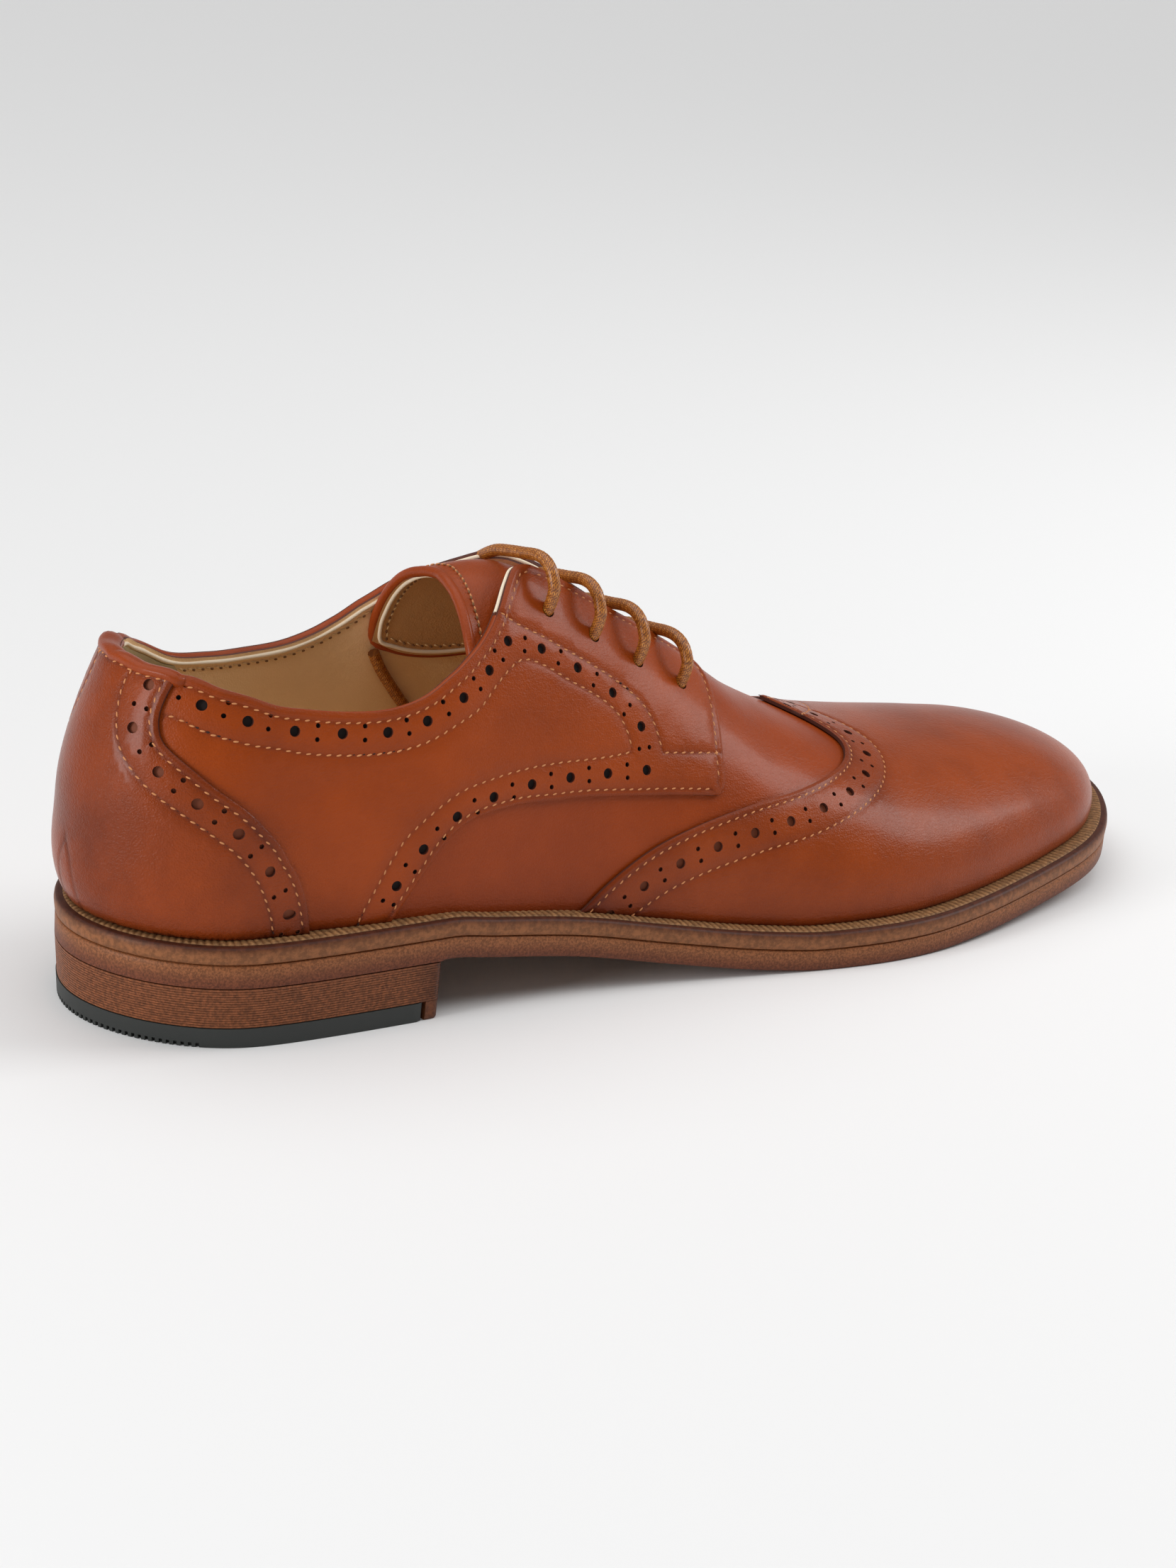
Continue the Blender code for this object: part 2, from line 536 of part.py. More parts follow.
def build_upper():
    """The shell of the upper, its overlays and the tongue, all from one set of triangles."""
    loops = pieces_of_upper()
    places, triangles = triangle_mesh(list(loops.values()), CHART_MESH)
    centres = places[triangles].mean(1)
    holes = np.zeros(len(triangles), bool)
    for name, loop in loops.items():
        if name.startswith("eyelet"):
            holes |= inside(centres, loop)
    tan = material("tan_leather", (0.36, 0.10, 0.03), 0.35)
    dark = material("counter_leather", (0.31, 0.08, 0.025), 0.33)
    inner_skin = surface(places, -UPPER_WALL)
    outer_skin = surface(places, 0)
    body = inside(centres, loops["upper"]) & ~inside(centres, loops["opening"]) & ~holes
    shell("upper", triangles[body], inner_skin, outer_skin, tan)
    overlays = (("quarter_outer", FIRST_LAYER, tan), ("quarter_inner", FIRST_LAYER, tan),
                ("heel_counter", SECOND_LAYER, dark), ("toe_wing", FIRST_LAYER, dark))
    for name, height, finish in overlays:
        picked = inside(centres, loops[name]) & ~holes
        shell(name, triangles[picked], surface(places, height), surface(places, height + OVERLAY_WALL), finish)
    picked = inside(centres, loops["tongue"])
    skins = tongue_skin(places, TONGUE_WALL), tongue_skin(places, 0)
    shell("tongue", triangles[picked], *skins, material("tongue_leather", (0.36, 0.10, 0.03), 0.4))


def edge_ring(inset, shares):
    """The sole's edge moved in towards the hubs."""
    edge = outline(shares)
    hub_x, hub_y = hub(shares, edge[:, 0])
    inward = np.stack([hub_x, hub_y], -1) - edge
    return edge + inward / np.linalg.norm(inward, axis=1, keepdims=True) * np.asarray(inset)[..., None]


def plate(name, rings, top, bottom, finish):
    """A flat layer of the sole between two heights, which are functions of the length."""
    places, triangles = triangle_mesh(rings, SOLE_MESH)
    centres = places[triangles].mean(1)
    picked = inside(centres, rings[0])
    for hole in rings[1:]:
        picked &= ~inside(centres, hole)
    high = np.column_stack([places, top(places[:, 0])])
    low = np.column_stack([places, bottom(places[:, 0])])
    shell(name, triangles[picked], low, high, finish)


def build_sole():
    """Insole, welt and outsole follow the seat line; the tread is flat where it stands."""
    shares = foot_shares()[:-1]
    edge = edge_ring(np.zeros(len(shares)), shares)
    foot = last_point(shares, 0)[:, :2]
    reach = np.linalg.norm(edge - foot, axis=1)
    insole_edge = edge_ring(reach + UPPER_WALL + CLEARANCE, shares)
    welt_inside = edge_ring(reach + WELT_SEAT, shares)
    plate("insole", [insole_edge], lambda x: seat(x) + INSOLE, lambda x: seat(x) + CLEARANCE,
          material("lining_tan", (0.45, 0.28, 0.16), 0.7))
    plate("welt", [edge, welt_inside], seat, lambda x: seat(x) - WELT + CLEARANCE,
          material("welt_tan", (0.30, 0.14, 0.07), 0.5))
    plate("outsole", [edge_ring(np.full(len(shares), OUTSOLE_INSET), shares)], lambda x: seat(x) - WELT,
          lambda x: np.maximum(seat(x) - WELT - OUTSOLE, 0), material("sole_leather", (0.20, 0.09, 0.05), 0.45))


def heel_outline(inset, front):
    """The sole's edge round the heel, closed by a straight front."""
    shares = np.linspace(-BREAST_SHARE, BREAST_SHARE, HEEL_POINTS)
    edge = edge_ring(np.full(HEEL_POINTS, inset), shares)
    edge = edge[edge[:, 0] < front - HEEL_CORNER]
    return np.vstack([front_corner(edge[1::-1], front), edge, front_corner(edge[-2:], front)])[::-1]


def front_corner(run, front):
    """Where the last run of the heel's edge meets its straight front."""
    slope = (run[1][1] - run[0][1]) / (run[1][0] - run[0][0])
    return np.array([[front, run[1][1] + slope * (front - run[1][0])]])


def prism(levels):
    """Points and faces of a body stacked from outlines with as many points each."""
    count = len(levels[0][0])
    points = np.vstack([np.column_stack([flat, np.full(count, height)]) for flat, height in levels])
    faces = [tuple(range(count))[::-1], tuple(range(len(points) - count, len(points)))]
    for level in range(len(levels) - 1):
        for i in range(count):
            j = (i + 1) % count
            low = level * count
            faces.append((low + i, low + j, low + count + j, low + count + i))
    return points, faces


def build_heel():
    """Stacked lifts that reach the floor at the front, and the rubber top piece behind them."""
    top = HEEL_SEAT - WELT - OUTSOLE - CLEARANCE
    front = BREAST * LENGTH
    rubber_front = front - HEEL_NOSE
    brown = material("stack_brown", (0.17, 0.075, 0.04), 0.45)
    black = material("rubber_green_black", (0.03, 0.035, 0.03), 0.6)
    levels = [(heel_outline(HEEL_TAPER * (1 - height / top), front), height) for height in (0, top)]
    stack = solid("heel_stack", *prism(levels), brown, smooth=False)
    cut = heel_outline(-HEEL_TAPER, rubber_front)
    points, faces = prism([(cut, -RUBBER), (cut, RUBBER + CLEARANCE)])
    cutter = solid("rubber_room", points, faces, black, smooth=False)
    cutter.display_type = "WIRE"
    cutter.hide_render = True
    recess = stack.modifiers.new("rubber_room", "BOOLEAN")
    recess.operation = "DIFFERENCE"
    recess.object = cutter
    rubber = [(heel_outline(HEEL_TAPER * (1 - height / top), rubber_front - CLEARANCE), height)
              for height in (0, RUBBER)]
    solid("heel_top_piece", *prism(rubber), black, smooth=False)


def tube(name, route, radius, finish):
    """A round cord along a smooth curve, with flat ends."""
    curve = bpy.data.curves.new(name, "CURVE")
    curve.dimensions = "3D"
    curve.bevel_depth = radius
    curve.bevel_resolution = 2
    curve.use_fill_caps = True
    line = curve.splines.new("POLY")
    line.points.add(len(route) - 1)
    for point, place in zip(line.points, route):
        point.co = (*map(float, place), 1)
    curve.materials.append(finish)
    thing = bpy.data.objects.new(name, curve)
    bpy.context.collection.objects.link(thing)
    return thing


def build_lace():
    """Bars that arch over the throat, and the free end that hangs along the inner side's lining."""
    waxed = material("waxed_lace", (0.33, 0.13, 0.03), 0.6)
    over = FIRST_LAYER + OVERLAY_WALL + CLEARANCE + LACE_RADIUS
    turn = np.linspace(0, np.pi, BAR_POINTS)[:, None]
    across = np.sign(np.cos(turn)) * np.abs(np.cos(turn)) ** BAR_BEND
    for number, (around, up) in enumerate(EYELETS, 1):
        outer, inner = (surface(chart_place(side * around, up), over) for side in (-1, 1))
        rise = np.array([0, 0, BAR_RISES[number - 1]])
        arch = (outer + inner) / 2 + (outer - inner) / 2 * across + rise * np.sin(turn) ** BAR_BEND
        tube(f"lace_bar_{number}", arch, LACE_RADIUS, waxed)
    under = UPPER_WALL + CLEARANCE + LACE_RADIUS
    places = smooth_line([chart_place(*row) for row in LACE_END], LACE_POINT_STEP)
    tube("lace_end", surface(places, -under), LACE_RADIUS, waxed)


def centre_on_floor():
    """Move every piece so that the origin lies on the floor under the middle of the shoe."""
    things = list(bpy.data.objects)
    corners = [vertex.co for thing in things if thing.type == "MESH" for vertex in thing.data.vertices
               if not thing.hide_render]
    low = np.min(corners, axis=0)
    high = np.max(corners, axis=0)
    middle = Vector(((low[0] + high[0]) / 2, (low[1] + high[1]) / 2, low[2]))
    for thing in things:
        thing.data.transform(Matrix.Translation(-middle))


for old in list(bpy.data.objects):
    bpy.data.objects.remove(old, do_unlink=True)
build_upper()
build_sole()
build_heel()
build_lace()
centre_on_floor()
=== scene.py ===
"""Looks of the right brogue shoe: leather, seams, perforations, lace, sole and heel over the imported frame."""
import math

import bmesh
import bpy
import numpy as np
from mathutils import Matrix, Vector
from mathutils.geometry import delaunay_2d_cdt
from mathutils.kdtree import KDTree


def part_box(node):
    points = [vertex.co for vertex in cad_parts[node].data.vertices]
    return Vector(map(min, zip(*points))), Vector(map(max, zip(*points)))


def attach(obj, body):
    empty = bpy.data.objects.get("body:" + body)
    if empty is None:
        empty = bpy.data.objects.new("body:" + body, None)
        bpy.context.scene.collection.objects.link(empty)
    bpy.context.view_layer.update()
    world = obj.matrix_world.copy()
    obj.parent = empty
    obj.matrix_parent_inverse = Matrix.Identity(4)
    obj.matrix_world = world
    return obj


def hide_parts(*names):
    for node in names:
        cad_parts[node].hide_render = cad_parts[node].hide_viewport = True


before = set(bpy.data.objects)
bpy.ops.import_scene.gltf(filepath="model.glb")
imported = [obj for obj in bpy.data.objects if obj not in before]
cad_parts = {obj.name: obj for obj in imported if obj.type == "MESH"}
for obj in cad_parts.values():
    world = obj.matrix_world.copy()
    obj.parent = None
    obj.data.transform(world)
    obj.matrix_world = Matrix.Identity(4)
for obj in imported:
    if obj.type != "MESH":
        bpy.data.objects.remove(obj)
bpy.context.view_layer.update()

# The body of the upper: one piece of tan calf with a thin lining, about 1.4 mm thick.
# It is pulled over the last, and its lower edge is stitched to the insole and the welt.

# Driving sizes of the last and the sole, in metres. +X points to the toe, +Y to the inner side of the foot.
LENGTH = 0.304
BALL_WIDTH = 0.107
INSTEP_RISE = 0.0687
WELT_REVEAL = 0.0055
RUBBER = 0.0047
STACK = 0.0096
OUTSOLE = 0.0052
WELT = 0.0043
TOE_SPRING = 0.0068
EDGE_STEP = 0.0012       # along edges and seams
SAMPLES = 13
UPPER_WALL = 0.0014
OVERLAY_WALL = 0.0012
CLEARANCE = 0.0003
BREAST = 0.2445

FORE_SEAT = OUTSOLE + WELT
HEEL_SEAT = FORE_SEAT + STACK + RUBBER
FIRST_TOP = CLEARANCE + OVERLAY_WALL
SECOND_TOP = 2 * FIRST_TOP

# The last's ribs fan out from a hub in the heel and a hub in the toe, and stand square between them.
HEEL_HUB = 0.122         # share of the length
TOE_HUB = 0.822          # share of the length
HEEL_END = 0.22          # share of the half perimeter where the heel fan ends
TOE_START = 0.74         # share of the half perimeter where the toe fan starts
HUB_BEND = 0.05          # sideways run of the ridge at the toe hub, share of the ball width
HUB_BEND_START = 0.4     # share of the length where that run begins

# Side profile, in shares. Columns: name, x, drop, spring, ridge.
# x: of the length. drop: of the heel's extra height. spring: of the toe spring.
# ridge: height of the last over the seat line, of the instep rise.
PROFILE = (
    ("back", -0.05, 1.00, 0.00, 1.19),
    ("heel", 0.12, 1.00, 0.00, 1.25),
    ("breast", 0.25, 1.00, 0.00, 1.285),
    ("shank", 0.29, 0.89, 0.00, 1.235),
    ("waist", 0.362, 0.68, 0.00, 1.155),
    ("instep", 0.444, 0.35, 0.00, 1.00),
    ("throat", 0.526, 0.08, 0.00, 0.82),
    ("tread_back", 0.576, 0.00, 0.00, 0.69),
    ("ball", 0.632, 0.00, 0.00, 0.575),
    ("tread_front", 0.67, 0.00, 0.01, 0.515),
    ("vamp", 0.74, 0.00, 0.15, 0.437),
    ("toe_hub", 0.822, 0.00, 0.40, 0.365),
    ("toe", 0.93, 0.00, 0.80, 0.265),
    ("tip", 1.00, 0.00, 1.02, 0.18),
    ("beyond", 1.06, 0.00, 1.15, 0.08),
)

# Ribs of the last, in shares. Columns: name, around, x, y, reveal, belly_out, belly_up, shoulder_in,
# shoulder_up, crown. around: of the half perimeter. x: of the length. y: of the ball width.
# reveal: of the welt reveal. belly_out and belly_up: the widest point, of the ball width and of the
# rib's height. shoulder_in and shoulder_up: of the rib's reach and height. crown: of the rib's reach.
OUTER_RIBS = (
    ("back", 0.00, -0.001, 0.000, 1.11, 0.113, 0.17, 0.73, 0.66, 0.45),
    ("back_corner", 0.09, 0.026, -0.205, 1.12, 0.094, 0.17, 0.75, 0.66, 0.45),
    ("heel_corner", 0.17, 0.079, -0.320, 1.20, 0.050, 0.19, 0.84, 0.65, 0.45),
    ("heel_side", 0.22, 0.122, -0.346, 1.27, 0.026, 0.21, 0.90, 0.65, 0.45),
    ("breast", None, 0.247, -0.361, 0.80, 0.020, 0.22, 0.90, 0.68, 0.40),
    ("waist", None, 0.362, -0.374, 0.95, 0.020, 0.22, 0.80, 0.76, 0.38),
    ("instep", None, 0.444, -0.407, 1.15, 0.020, 0.25, 0.79, 0.72, 0.38),
    ("throat", None, 0.526, -0.453, 1.20, 0.022, 0.28, 0.81, 0.70, 0.40),
    ("ball", None, 0.632, -0.503, 1.20, 0.024, 0.33, 0.86, 0.76, 0.42),
    ("vamp", None, 0.740, -0.474, 1.20, 0.024, 0.34, 0.88, 0.79, 0.45),
    ("toe_side", 0.74, 0.822, -0.412, 1.20, 0.020, 0.35, 0.90, 0.79, 0.48),
    ("toe_corner", 0.87, 0.934, -0.262, 1.20, 0.020, 0.35, 0.92, 0.80, 0.50),
    ("tip", 1.00, 0.999, 0.060, 1.20, 0.020, 0.36, 0.92, 0.82, 0.50),
)
INNER_RIBS = (
    ("back_corner", 0.09, 0.026, 0.205, 1.12, 0.094, 0.17, 0.75, 0.66, 0.45),
    ("heel_corner", 0.17, 0.079, 0.320, 1.20, 0.050, 0.19, 0.84, 0.65, 0.45),
    ("heel_side", 0.22, 0.122, 0.342, 1.27, 0.026, 0.21, 0.88, 0.65, 0.45),
    ("breast", None, 0.247, 0.322, 0.80, 0.028, 0.22, 0.90, 0.68, 0.40),
    ("waist", None, 0.362, 0.296, 0.90, 0.037, 0.25, 0.86, 0.74, 0.38),
    ("instep", None, 0.444, 0.315, 1.05, 0.037, 0.28, 0.85, 0.72, 0.38),
    ("throat", None, 0.526, 0.376, 1.15, 0.030, 0.30, 0.83, 0.70, 0.40),
    ("ball", None, 0.632, 0.458, 1.20, 0.024, 0.33, 0.86, 0.76, 0.42),
    ("vamp", None, 0.740, 0.480, 1.20, 0.024, 0.34, 0.88, 0.79, 0.45),
    ("toe_side", 0.74, 0.822, 0.434, 1.20, 0.020, 0.35, 0.90, 0.79, 0.48),
    ("toe_corner", 0.87, 0.943, 0.330, 1.20, 0.020, 0.35, 0.92, 0.80, 0.50),
)


def station(x_share):
    """Share of the half perimeter at a place along the body of the last."""
    along = (x_share - HEEL_HUB) / (TOE_HUB - HEEL_HUB)
    return HEEL_END + (TOE_START - HEEL_END) * along


def closed_spline(knots, values, period):
    """Smooth closed curve through rows of values."""
    knots = np.array(knots)
    values = np.array(values)
    count = len(knots)
    steps = np.diff(np.append(knots, knots[0] + period))
    matrix = np.zeros((count, count))
    sides = np.zeros(values.shape)
    for i in range(count):
        following = (i + 1) % count
        matrix[i, i - 1] += steps[i - 1]
        matrix[i, i] += 2 * (steps[i - 1] + steps[i])
        matrix[i, following] += steps[i]
        rise_after = (values[following] - values[i]) / steps[i]
        rise_before = (values[i] - values[i - 1]) / steps[i - 1]
        sides[i] = 6 * (rise_after - rise_before)
    bends = np.linalg.solve(matrix, sides)

    def curve(place):
        place = (np.asarray(place, float) - knots[0]) % period + knots[0]
        i = np.clip(np.searchsorted(knots, place, side="right") - 1, 0, count - 1)
        j = (i + 1) % count
        step = steps[i][..., None]
        ahead = (place - knots[i])[..., None]
        left = step - ahead
        cubic = (bends[i] * left ** 3 + bends[j] * ahead ** 3) / (6 * step)
        before = (values[i] / step - bends[i] * step / 6) * left
        after = (values[j] / step - bends[j] * step / 6) * ahead
        return cubic + before + after
    return curve


def even_curve(knots, values):
    """Curve through rows of values that never swings past them."""
    knots = np.array(knots)
    values = np.array(values)
    slopes = np.diff(values) / np.diff(knots)
    tangents = np.zeros(len(knots))
    same_way = slopes[:-1] * slopes[1:] > 0
    mean = 2 * slopes[:-1] * slopes[1:] / np.where(same_way, slopes[:-1] + slopes[1:], 1)
    tangents[1:-1] = np.where(same_way, mean, 0)
    tangents[0] = slopes[0]
    tangents[-1] = slopes[-1]

    def curve(place):
        place = np.clip(np.asarray(place, float), knots[0], knots[-1])
        i = np.clip(np.searchsorted(knots, place, side="right") - 1, 0, len(knots) - 2)
        step = knots[i + 1] - knots[i]
        t = (place - knots[i]) / step
        start = (1 + 2 * t) * (1 - t) ** 2 * values[i] + t * (1 - t) ** 2 * step * tangents[i]
        end = t * t * (3 - 2 * t) * values[i + 1] - t * t * (1 - t) * step * tangents[i + 1]
        return start + end
    return curve


profile_x = [row[1] * LENGTH for row in PROFILE]
drop_curve = even_curve(profile_x, [row[2] for row in PROFILE])
spring_curve = even_curve(profile_x, [row[3] for row in PROFILE])
ridge_curve = even_curve(profile_x, [row[4] for row in PROFILE])


def seat(x):
    """Height of the seat line, where the upper meets the welt."""
    return FORE_SEAT + (HEEL_SEAT - FORE_SEAT) * drop_curve(x) + TOE_SPRING * spring_curve(x)


def ridge(x):
    """Height of the last's ridge."""
    return seat(x) + INSTEP_RISE * ridge_curve(x)


def rib_row(row, side):
    """A rib's row in metres, led by its place round the sole."""
    around = station(row[2]) if row[1] is None else row[1]
    sizes = (row[2] * LENGTH, row[3] * BALL_WIDTH, row[4] * WELT_REVEAL, row[5] * BALL_WIDTH)
    return (side * around,) + sizes + tuple(row[6:])


rib_rows = [rib_row(row, -1) for row in OUTER_RIBS[:-1]]
rib_rows += [rib_row(OUTER_RIBS[-1], 1)]
rib_rows += [rib_row(row, 1) for row in INNER_RIBS]
rib_rows.sort()
rib_curve = closed_spline([row[0] for row in rib_rows], [row[1:] for row in rib_rows], 2)


def outline(around):
    """The sole's edge in plan. around runs from -1 over the outer side, 0 at the back, to 1."""
    return rib_curve(around)[..., :2]


def hub(around, x):
    """Foot of a rib's fan: fixed in heel and toe, level with the rib between them."""
    away = np.abs(around)
    x = np.where(away < HEEL_END, HEEL_HUB * LENGTH, np.where(away > TOE_START, TOE_HUB * LENGTH, x))
    run = np.clip((x / LENGTH - HUB_BEND_START) / (TOE_HUB - HUB_BEND_START), 0, 1)
    return x, HUB_BEND * BALL_WIDTH * run * run * (3 - 2 * run)


def last_point(around, up):
    """A point of the last's surface: up is 0 at the seat line and 1 on the ridge."""
    around, up = np.broadcast_arrays(np.asarray(around, float), np.asarray(up, float))
    columns = np.moveaxis(rib_curve(around), -1, 0)
    x, y, reveal, belly_out, belly_up, shoulder_in, shoulder_up, crown = columns
    hub_x, hub_y = hub(around, x)
    reach = np.hypot(x - hub_x, y - hub_y)
    foot = reach - reveal
    belly = foot + belly_out
    low = 1 - up
    weights = (low ** 4, 4 * low ** 3 * up, 6 * low ** 2 * up ** 2, 4 * low * up ** 3, up ** 4)
    out = weights[0] * foot + weights[1] * belly + weights[2] * belly * shoulder_in
    out = out + weights[3] * foot * crown
    lift = weights[1] * belly_up + weights[2] * shoulder_up + weights[3] + weights[4]
    px = hub_x + (x - hub_x) / reach * out
    py = hub_y + (y - hub_y) / reach * out
    base = seat(x) + CLEARANCE
    return np.stack([px, py, base + (ridge(px) - base) * lift], -1)


# The chart is a flat map of the last: square ribs between two half discs.
CHART_REACH = 0.085      # from the ridge to the seat line
CHART_STEP = 0.0001      # for slopes
LEVEL_FOOT = 0.12        # share of a rib over which a wall turns level at its foot


def chart_place(around, up):
    """Flat place in the chart of a rib's share and height."""
    around = np.asarray(around, float)
    away = np.abs(around)
    out = (1 - np.asarray(up, float)) * CHART_REACH
    side = np.where(around < 0, -1, 1)
    heel_turn = np.pi / 2 * away / HEEL_END
    toe_turn = np.pi / 2 * (1 - away) / (1 - TOE_START)
    body_x = LENGTH * (HEEL_HUB + (TOE_HUB - HEEL_HUB) * (away - HEEL_END) / (TOE_START - HEEL_END))
    heel = away < HEEL_END
    toe = away > TOE_START
    x = np.where(heel, HEEL_HUB * LENGTH - out * np.cos(heel_turn), body_x)
    x = np.where(toe, TOE_HUB * LENGTH + out * np.cos(toe_turn), x)
    y = np.where(heel, out * np.sin(heel_turn), np.where(toe, out * np.sin(toe_turn), out))
    return np.stack([x, side * y], -1)


def chart_rib(place):
    """Rib's share and height of a flat place in the chart."""
    place = np.asarray(place, float)
    x = place[..., 0] - HEEL_HUB * LENGTH
    y = np.abs(place[..., 1])
    span = (TOE_HUB - HEEL_HUB) * LENGTH
    heel = x < 0
    toe = x > span
    out = np.where(heel, np.hypot(x, y), np.where(toe, np.hypot(x - span, y), y))
    heel_share = HEEL_END * np.arctan2(y, -x) / (np.pi / 2)
    toe_share = 1 - (1 - TOE_START) * np.arctan2(y, x - span) / (np.pi / 2)
    body_share = HEEL_END + (TOE_START - HEEL_END) * x / span
    away = np.where(heel, heel_share, np.where(toe, toe_share, body_share))
    return np.where(place[..., 1] < 0, -away, away), 1 - out / CHART_REACH


def chart_point(place):
    """The last's point at a flat place of the chart."""
    return last_point(*chart_rib(place))


def unit(vectors):
    """Vectors of length one."""
    return vectors / np.linalg.norm(vectors, axis=-1, keepdims=True)


def surface(place, over=0.0):
    """The last's surface at a flat place of the chart, moved out by over, level at the seat line."""
    place = np.asarray(place, float)
    step_x = np.array([CHART_STEP, 0])
    step_y = np.array([0, CHART_STEP])
    along_x = chart_point(place + step_x) - chart_point(place - step_x)
    along_y = chart_point(place + step_y) - chart_point(place - step_y)
    normal = unit(np.cross(along_x, along_y))
    up = np.maximum(chart_rib(place)[1], 0)
    normal[..., 2] *= np.minimum(up / LEVEL_FOOT, 1)
    normal = unit(normal)
    point = chart_point(place) + np.asarray(over)[..., None] * normal
    foot = seat(point[..., 0]) + CLEARANCE
    point[..., 2] = np.where(up < 0.001, foot, np.maximum(point[..., 2], foot))
    return point


def on_last(place, over=0.0):
    """The last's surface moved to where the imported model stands."""
    return surface(place, over) - SHIFT


welt_low, welt_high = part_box("welt")
stack_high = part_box("heel_stack")[1]
sole_edge = outline(np.linspace(-1, 1, 4001))
SHIFT = np.array([BREAST * LENGTH - stack_high[0],
                  (sole_edge[:, 1].min() + sole_edge[:, 1].max() - welt_low[1] - welt_high[1]) / 2, 0])

# Outlines on the chart. Columns: around, up. Outer side of the foot, mirrored for the inner one.
COLLAR_BACK = ((0.096, 0.553), (0.050, 0.563), (0.000, 0.567))
OUTER_COLLAR = (
    (0.096, 0.553), (0.149, 0.530), (0.205, 0.495), (0.238, 0.470), (0.265, 0.452), (0.285, 0.447),
    (0.305, 0.460), (0.323, 0.495), (0.336, 0.538), (0.349, 0.590), (0.359, 0.645), (0.371, 0.730),
    (0.380, 0.785), (0.392, 0.812),
)
INNER_COLLAR = (
    (0.096, 0.553), (0.149, 0.520), (0.205, 0.470), (0.244, 0.446), (0.266, 0.440), (0.295, 0.442),
    (0.319, 0.474), (0.334, 0.532), (0.350, 0.600), (0.370, 0.663), (0.384, 0.718), (0.396, 0.780),
    (0.408, 0.832),
)
OUTER_FACING = ((0.392, 0.812), (0.415, 0.815), (0.440, 0.828), (0.465, 0.850), (0.490, 0.872),
                (0.508, 0.885))
INNER_FACING = ((0.408, 0.832), (0.425, 0.865), (0.445, 0.875), (0.465, 0.880), (0.490, 0.882),
                (0.508, 0.885))
FRONT_EDGE = ((0.508, 0.885), (0.516, 0.850), (0.517, 0.790), (0.514, 0.715), (0.509, 0.610), (0.504, 0.500),
              (0.501, 0.420), (0.496, 0.382))
LOWER_EDGE = ((0.496, 0.382), (0.465, 0.345), (0.425, 0.300), (0.387, 0.272), (0.355, 0.258), (0.330, 0.230),
              (0.311, 0.180), (0.300, 0.120), (0.291, 0.060), (0.284, 0.000))
COUNTER_EDGE = ((0.096, 0.553), (0.086, 0.510), (0.083, 0.475), (0.088, 0.442), (0.103, 0.415), (0.145, 0.355),
                (0.192, 0.275), (0.212, 0.222), (0.225, 0.160), (0.232, 0.090), (0.236, 0.000))
WING_EDGE = ((0.404, 0.000), (0.418, 0.080), (0.445, 0.185), (0.478, 0.280), (0.512, 0.370), (0.550, 0.470),
             (0.583, 0.570), (0.608, 0.680), (0.618, 0.780), (0.612, 0.880), (0.600, 0.950), (0.590, 1.000))
TONGUE_SIDE = ((0.341, 0.460), (0.362, 0.440), (0.390, 0.450), (0.430, 0.520), (0.480, 0.620), (0.530, 0.720),
               (0.552, 0.780))
TONGUE_END = ((0.341, 0.460), (0.342, 0.560), (0.345, 0.700), (0.349, 0.850), (0.352, 1.000))
TONGUE_FRONT = ((0.552, 0.780), (0.562, 0.880), (0.564, 1.000))
THROAT_END = 0.500       # share of the half perimeter where the slot between the facings stops
THROAT_ROUND = 0.012     # how much further it runs in the middle
EYELETS = ((0.394, 0.670), (0.425, 0.660), (0.456, 0.665), (0.487, 0.677))
EYELET_RADIUS = 0.0017
EYELET_SIDES = 16


def way_along(line):
    """Length along a line up to each of its points."""
    return np.append(0, np.cumsum(np.linalg.norm(np.diff(line, axis=0), axis=1)))


def line_at(line, way, wanted):
    """Places of a line at wanted lengths, where way is each point's length."""
    return np.stack([np.interp(wanted, way, column) for column in line.T], -1)


def smooth_line(points, spacing):
    """Points along a smooth open curve through the given points, flat or in space."""
    points = np.array(points)
    steps = np.linalg.norm(np.diff(points, axis=0), axis=1)
    knots = np.append(0, np.cumsum(np.sqrt(steps)))
    tangents = np.gradient(points, knots, axis=0)
    fine = []
    for i in range(len(points) - 1):
        span = knots[i + 1] - knots[i]
        t = np.linspace(0, 1, SAMPLES)[:, None]
        start = (1 + 2 * t) * (1 - t) ** 2 * points[i] + t * (1 - t) ** 2 * span * tangents[i]
        end = t * t * (3 - 2 * t) * points[i + 1] - t * t * (1 - t) * span * tangents[i + 1]
        fine.append((start + end)[:-1])
    fine = np.vstack(fine + [points[-1:]])
    way = way_along(fine)
    count = max(1, round(way[-1] / spacing))
    return line_at(fine, way, np.linspace(0, way[-1], count + 1))


def chart_line(rows, side, spacing=EDGE_STEP):
    """Smooth line on the chart through rows of around and up, on the outer (-1) or inner (1) side."""
    places = [chart_place(side * row[0], row[1]) for row in rows]
    return smooth_line(places, spacing)


def chart_moves(places, moves):
    """How far to go on the chart for moves over the last."""
    step_x = np.array([CHART_STEP, 0])
    step_y = np.array([0, CHART_STEP])
    along_x = (chart_point(places + step_x) - chart_point(places - step_x)) / (2 * CHART_STEP)
    along_y = (chart_point(places + step_y) - chart_point(places - step_y)) / (2 * CHART_STEP)
    xx = (along_x * along_x).sum(-1)
    xy = (along_x * along_y).sum(-1)
    yy = (along_y * along_y).sum(-1)
    x_part = (along_x * moves).sum(-1)
    y_part = (along_y * moves).sum(-1)
    moved = np.stack([yy * x_part - xy * y_part, xx * y_part - xy * x_part], -1)
    return moved / (xx * yy - xy * xy)[..., None]


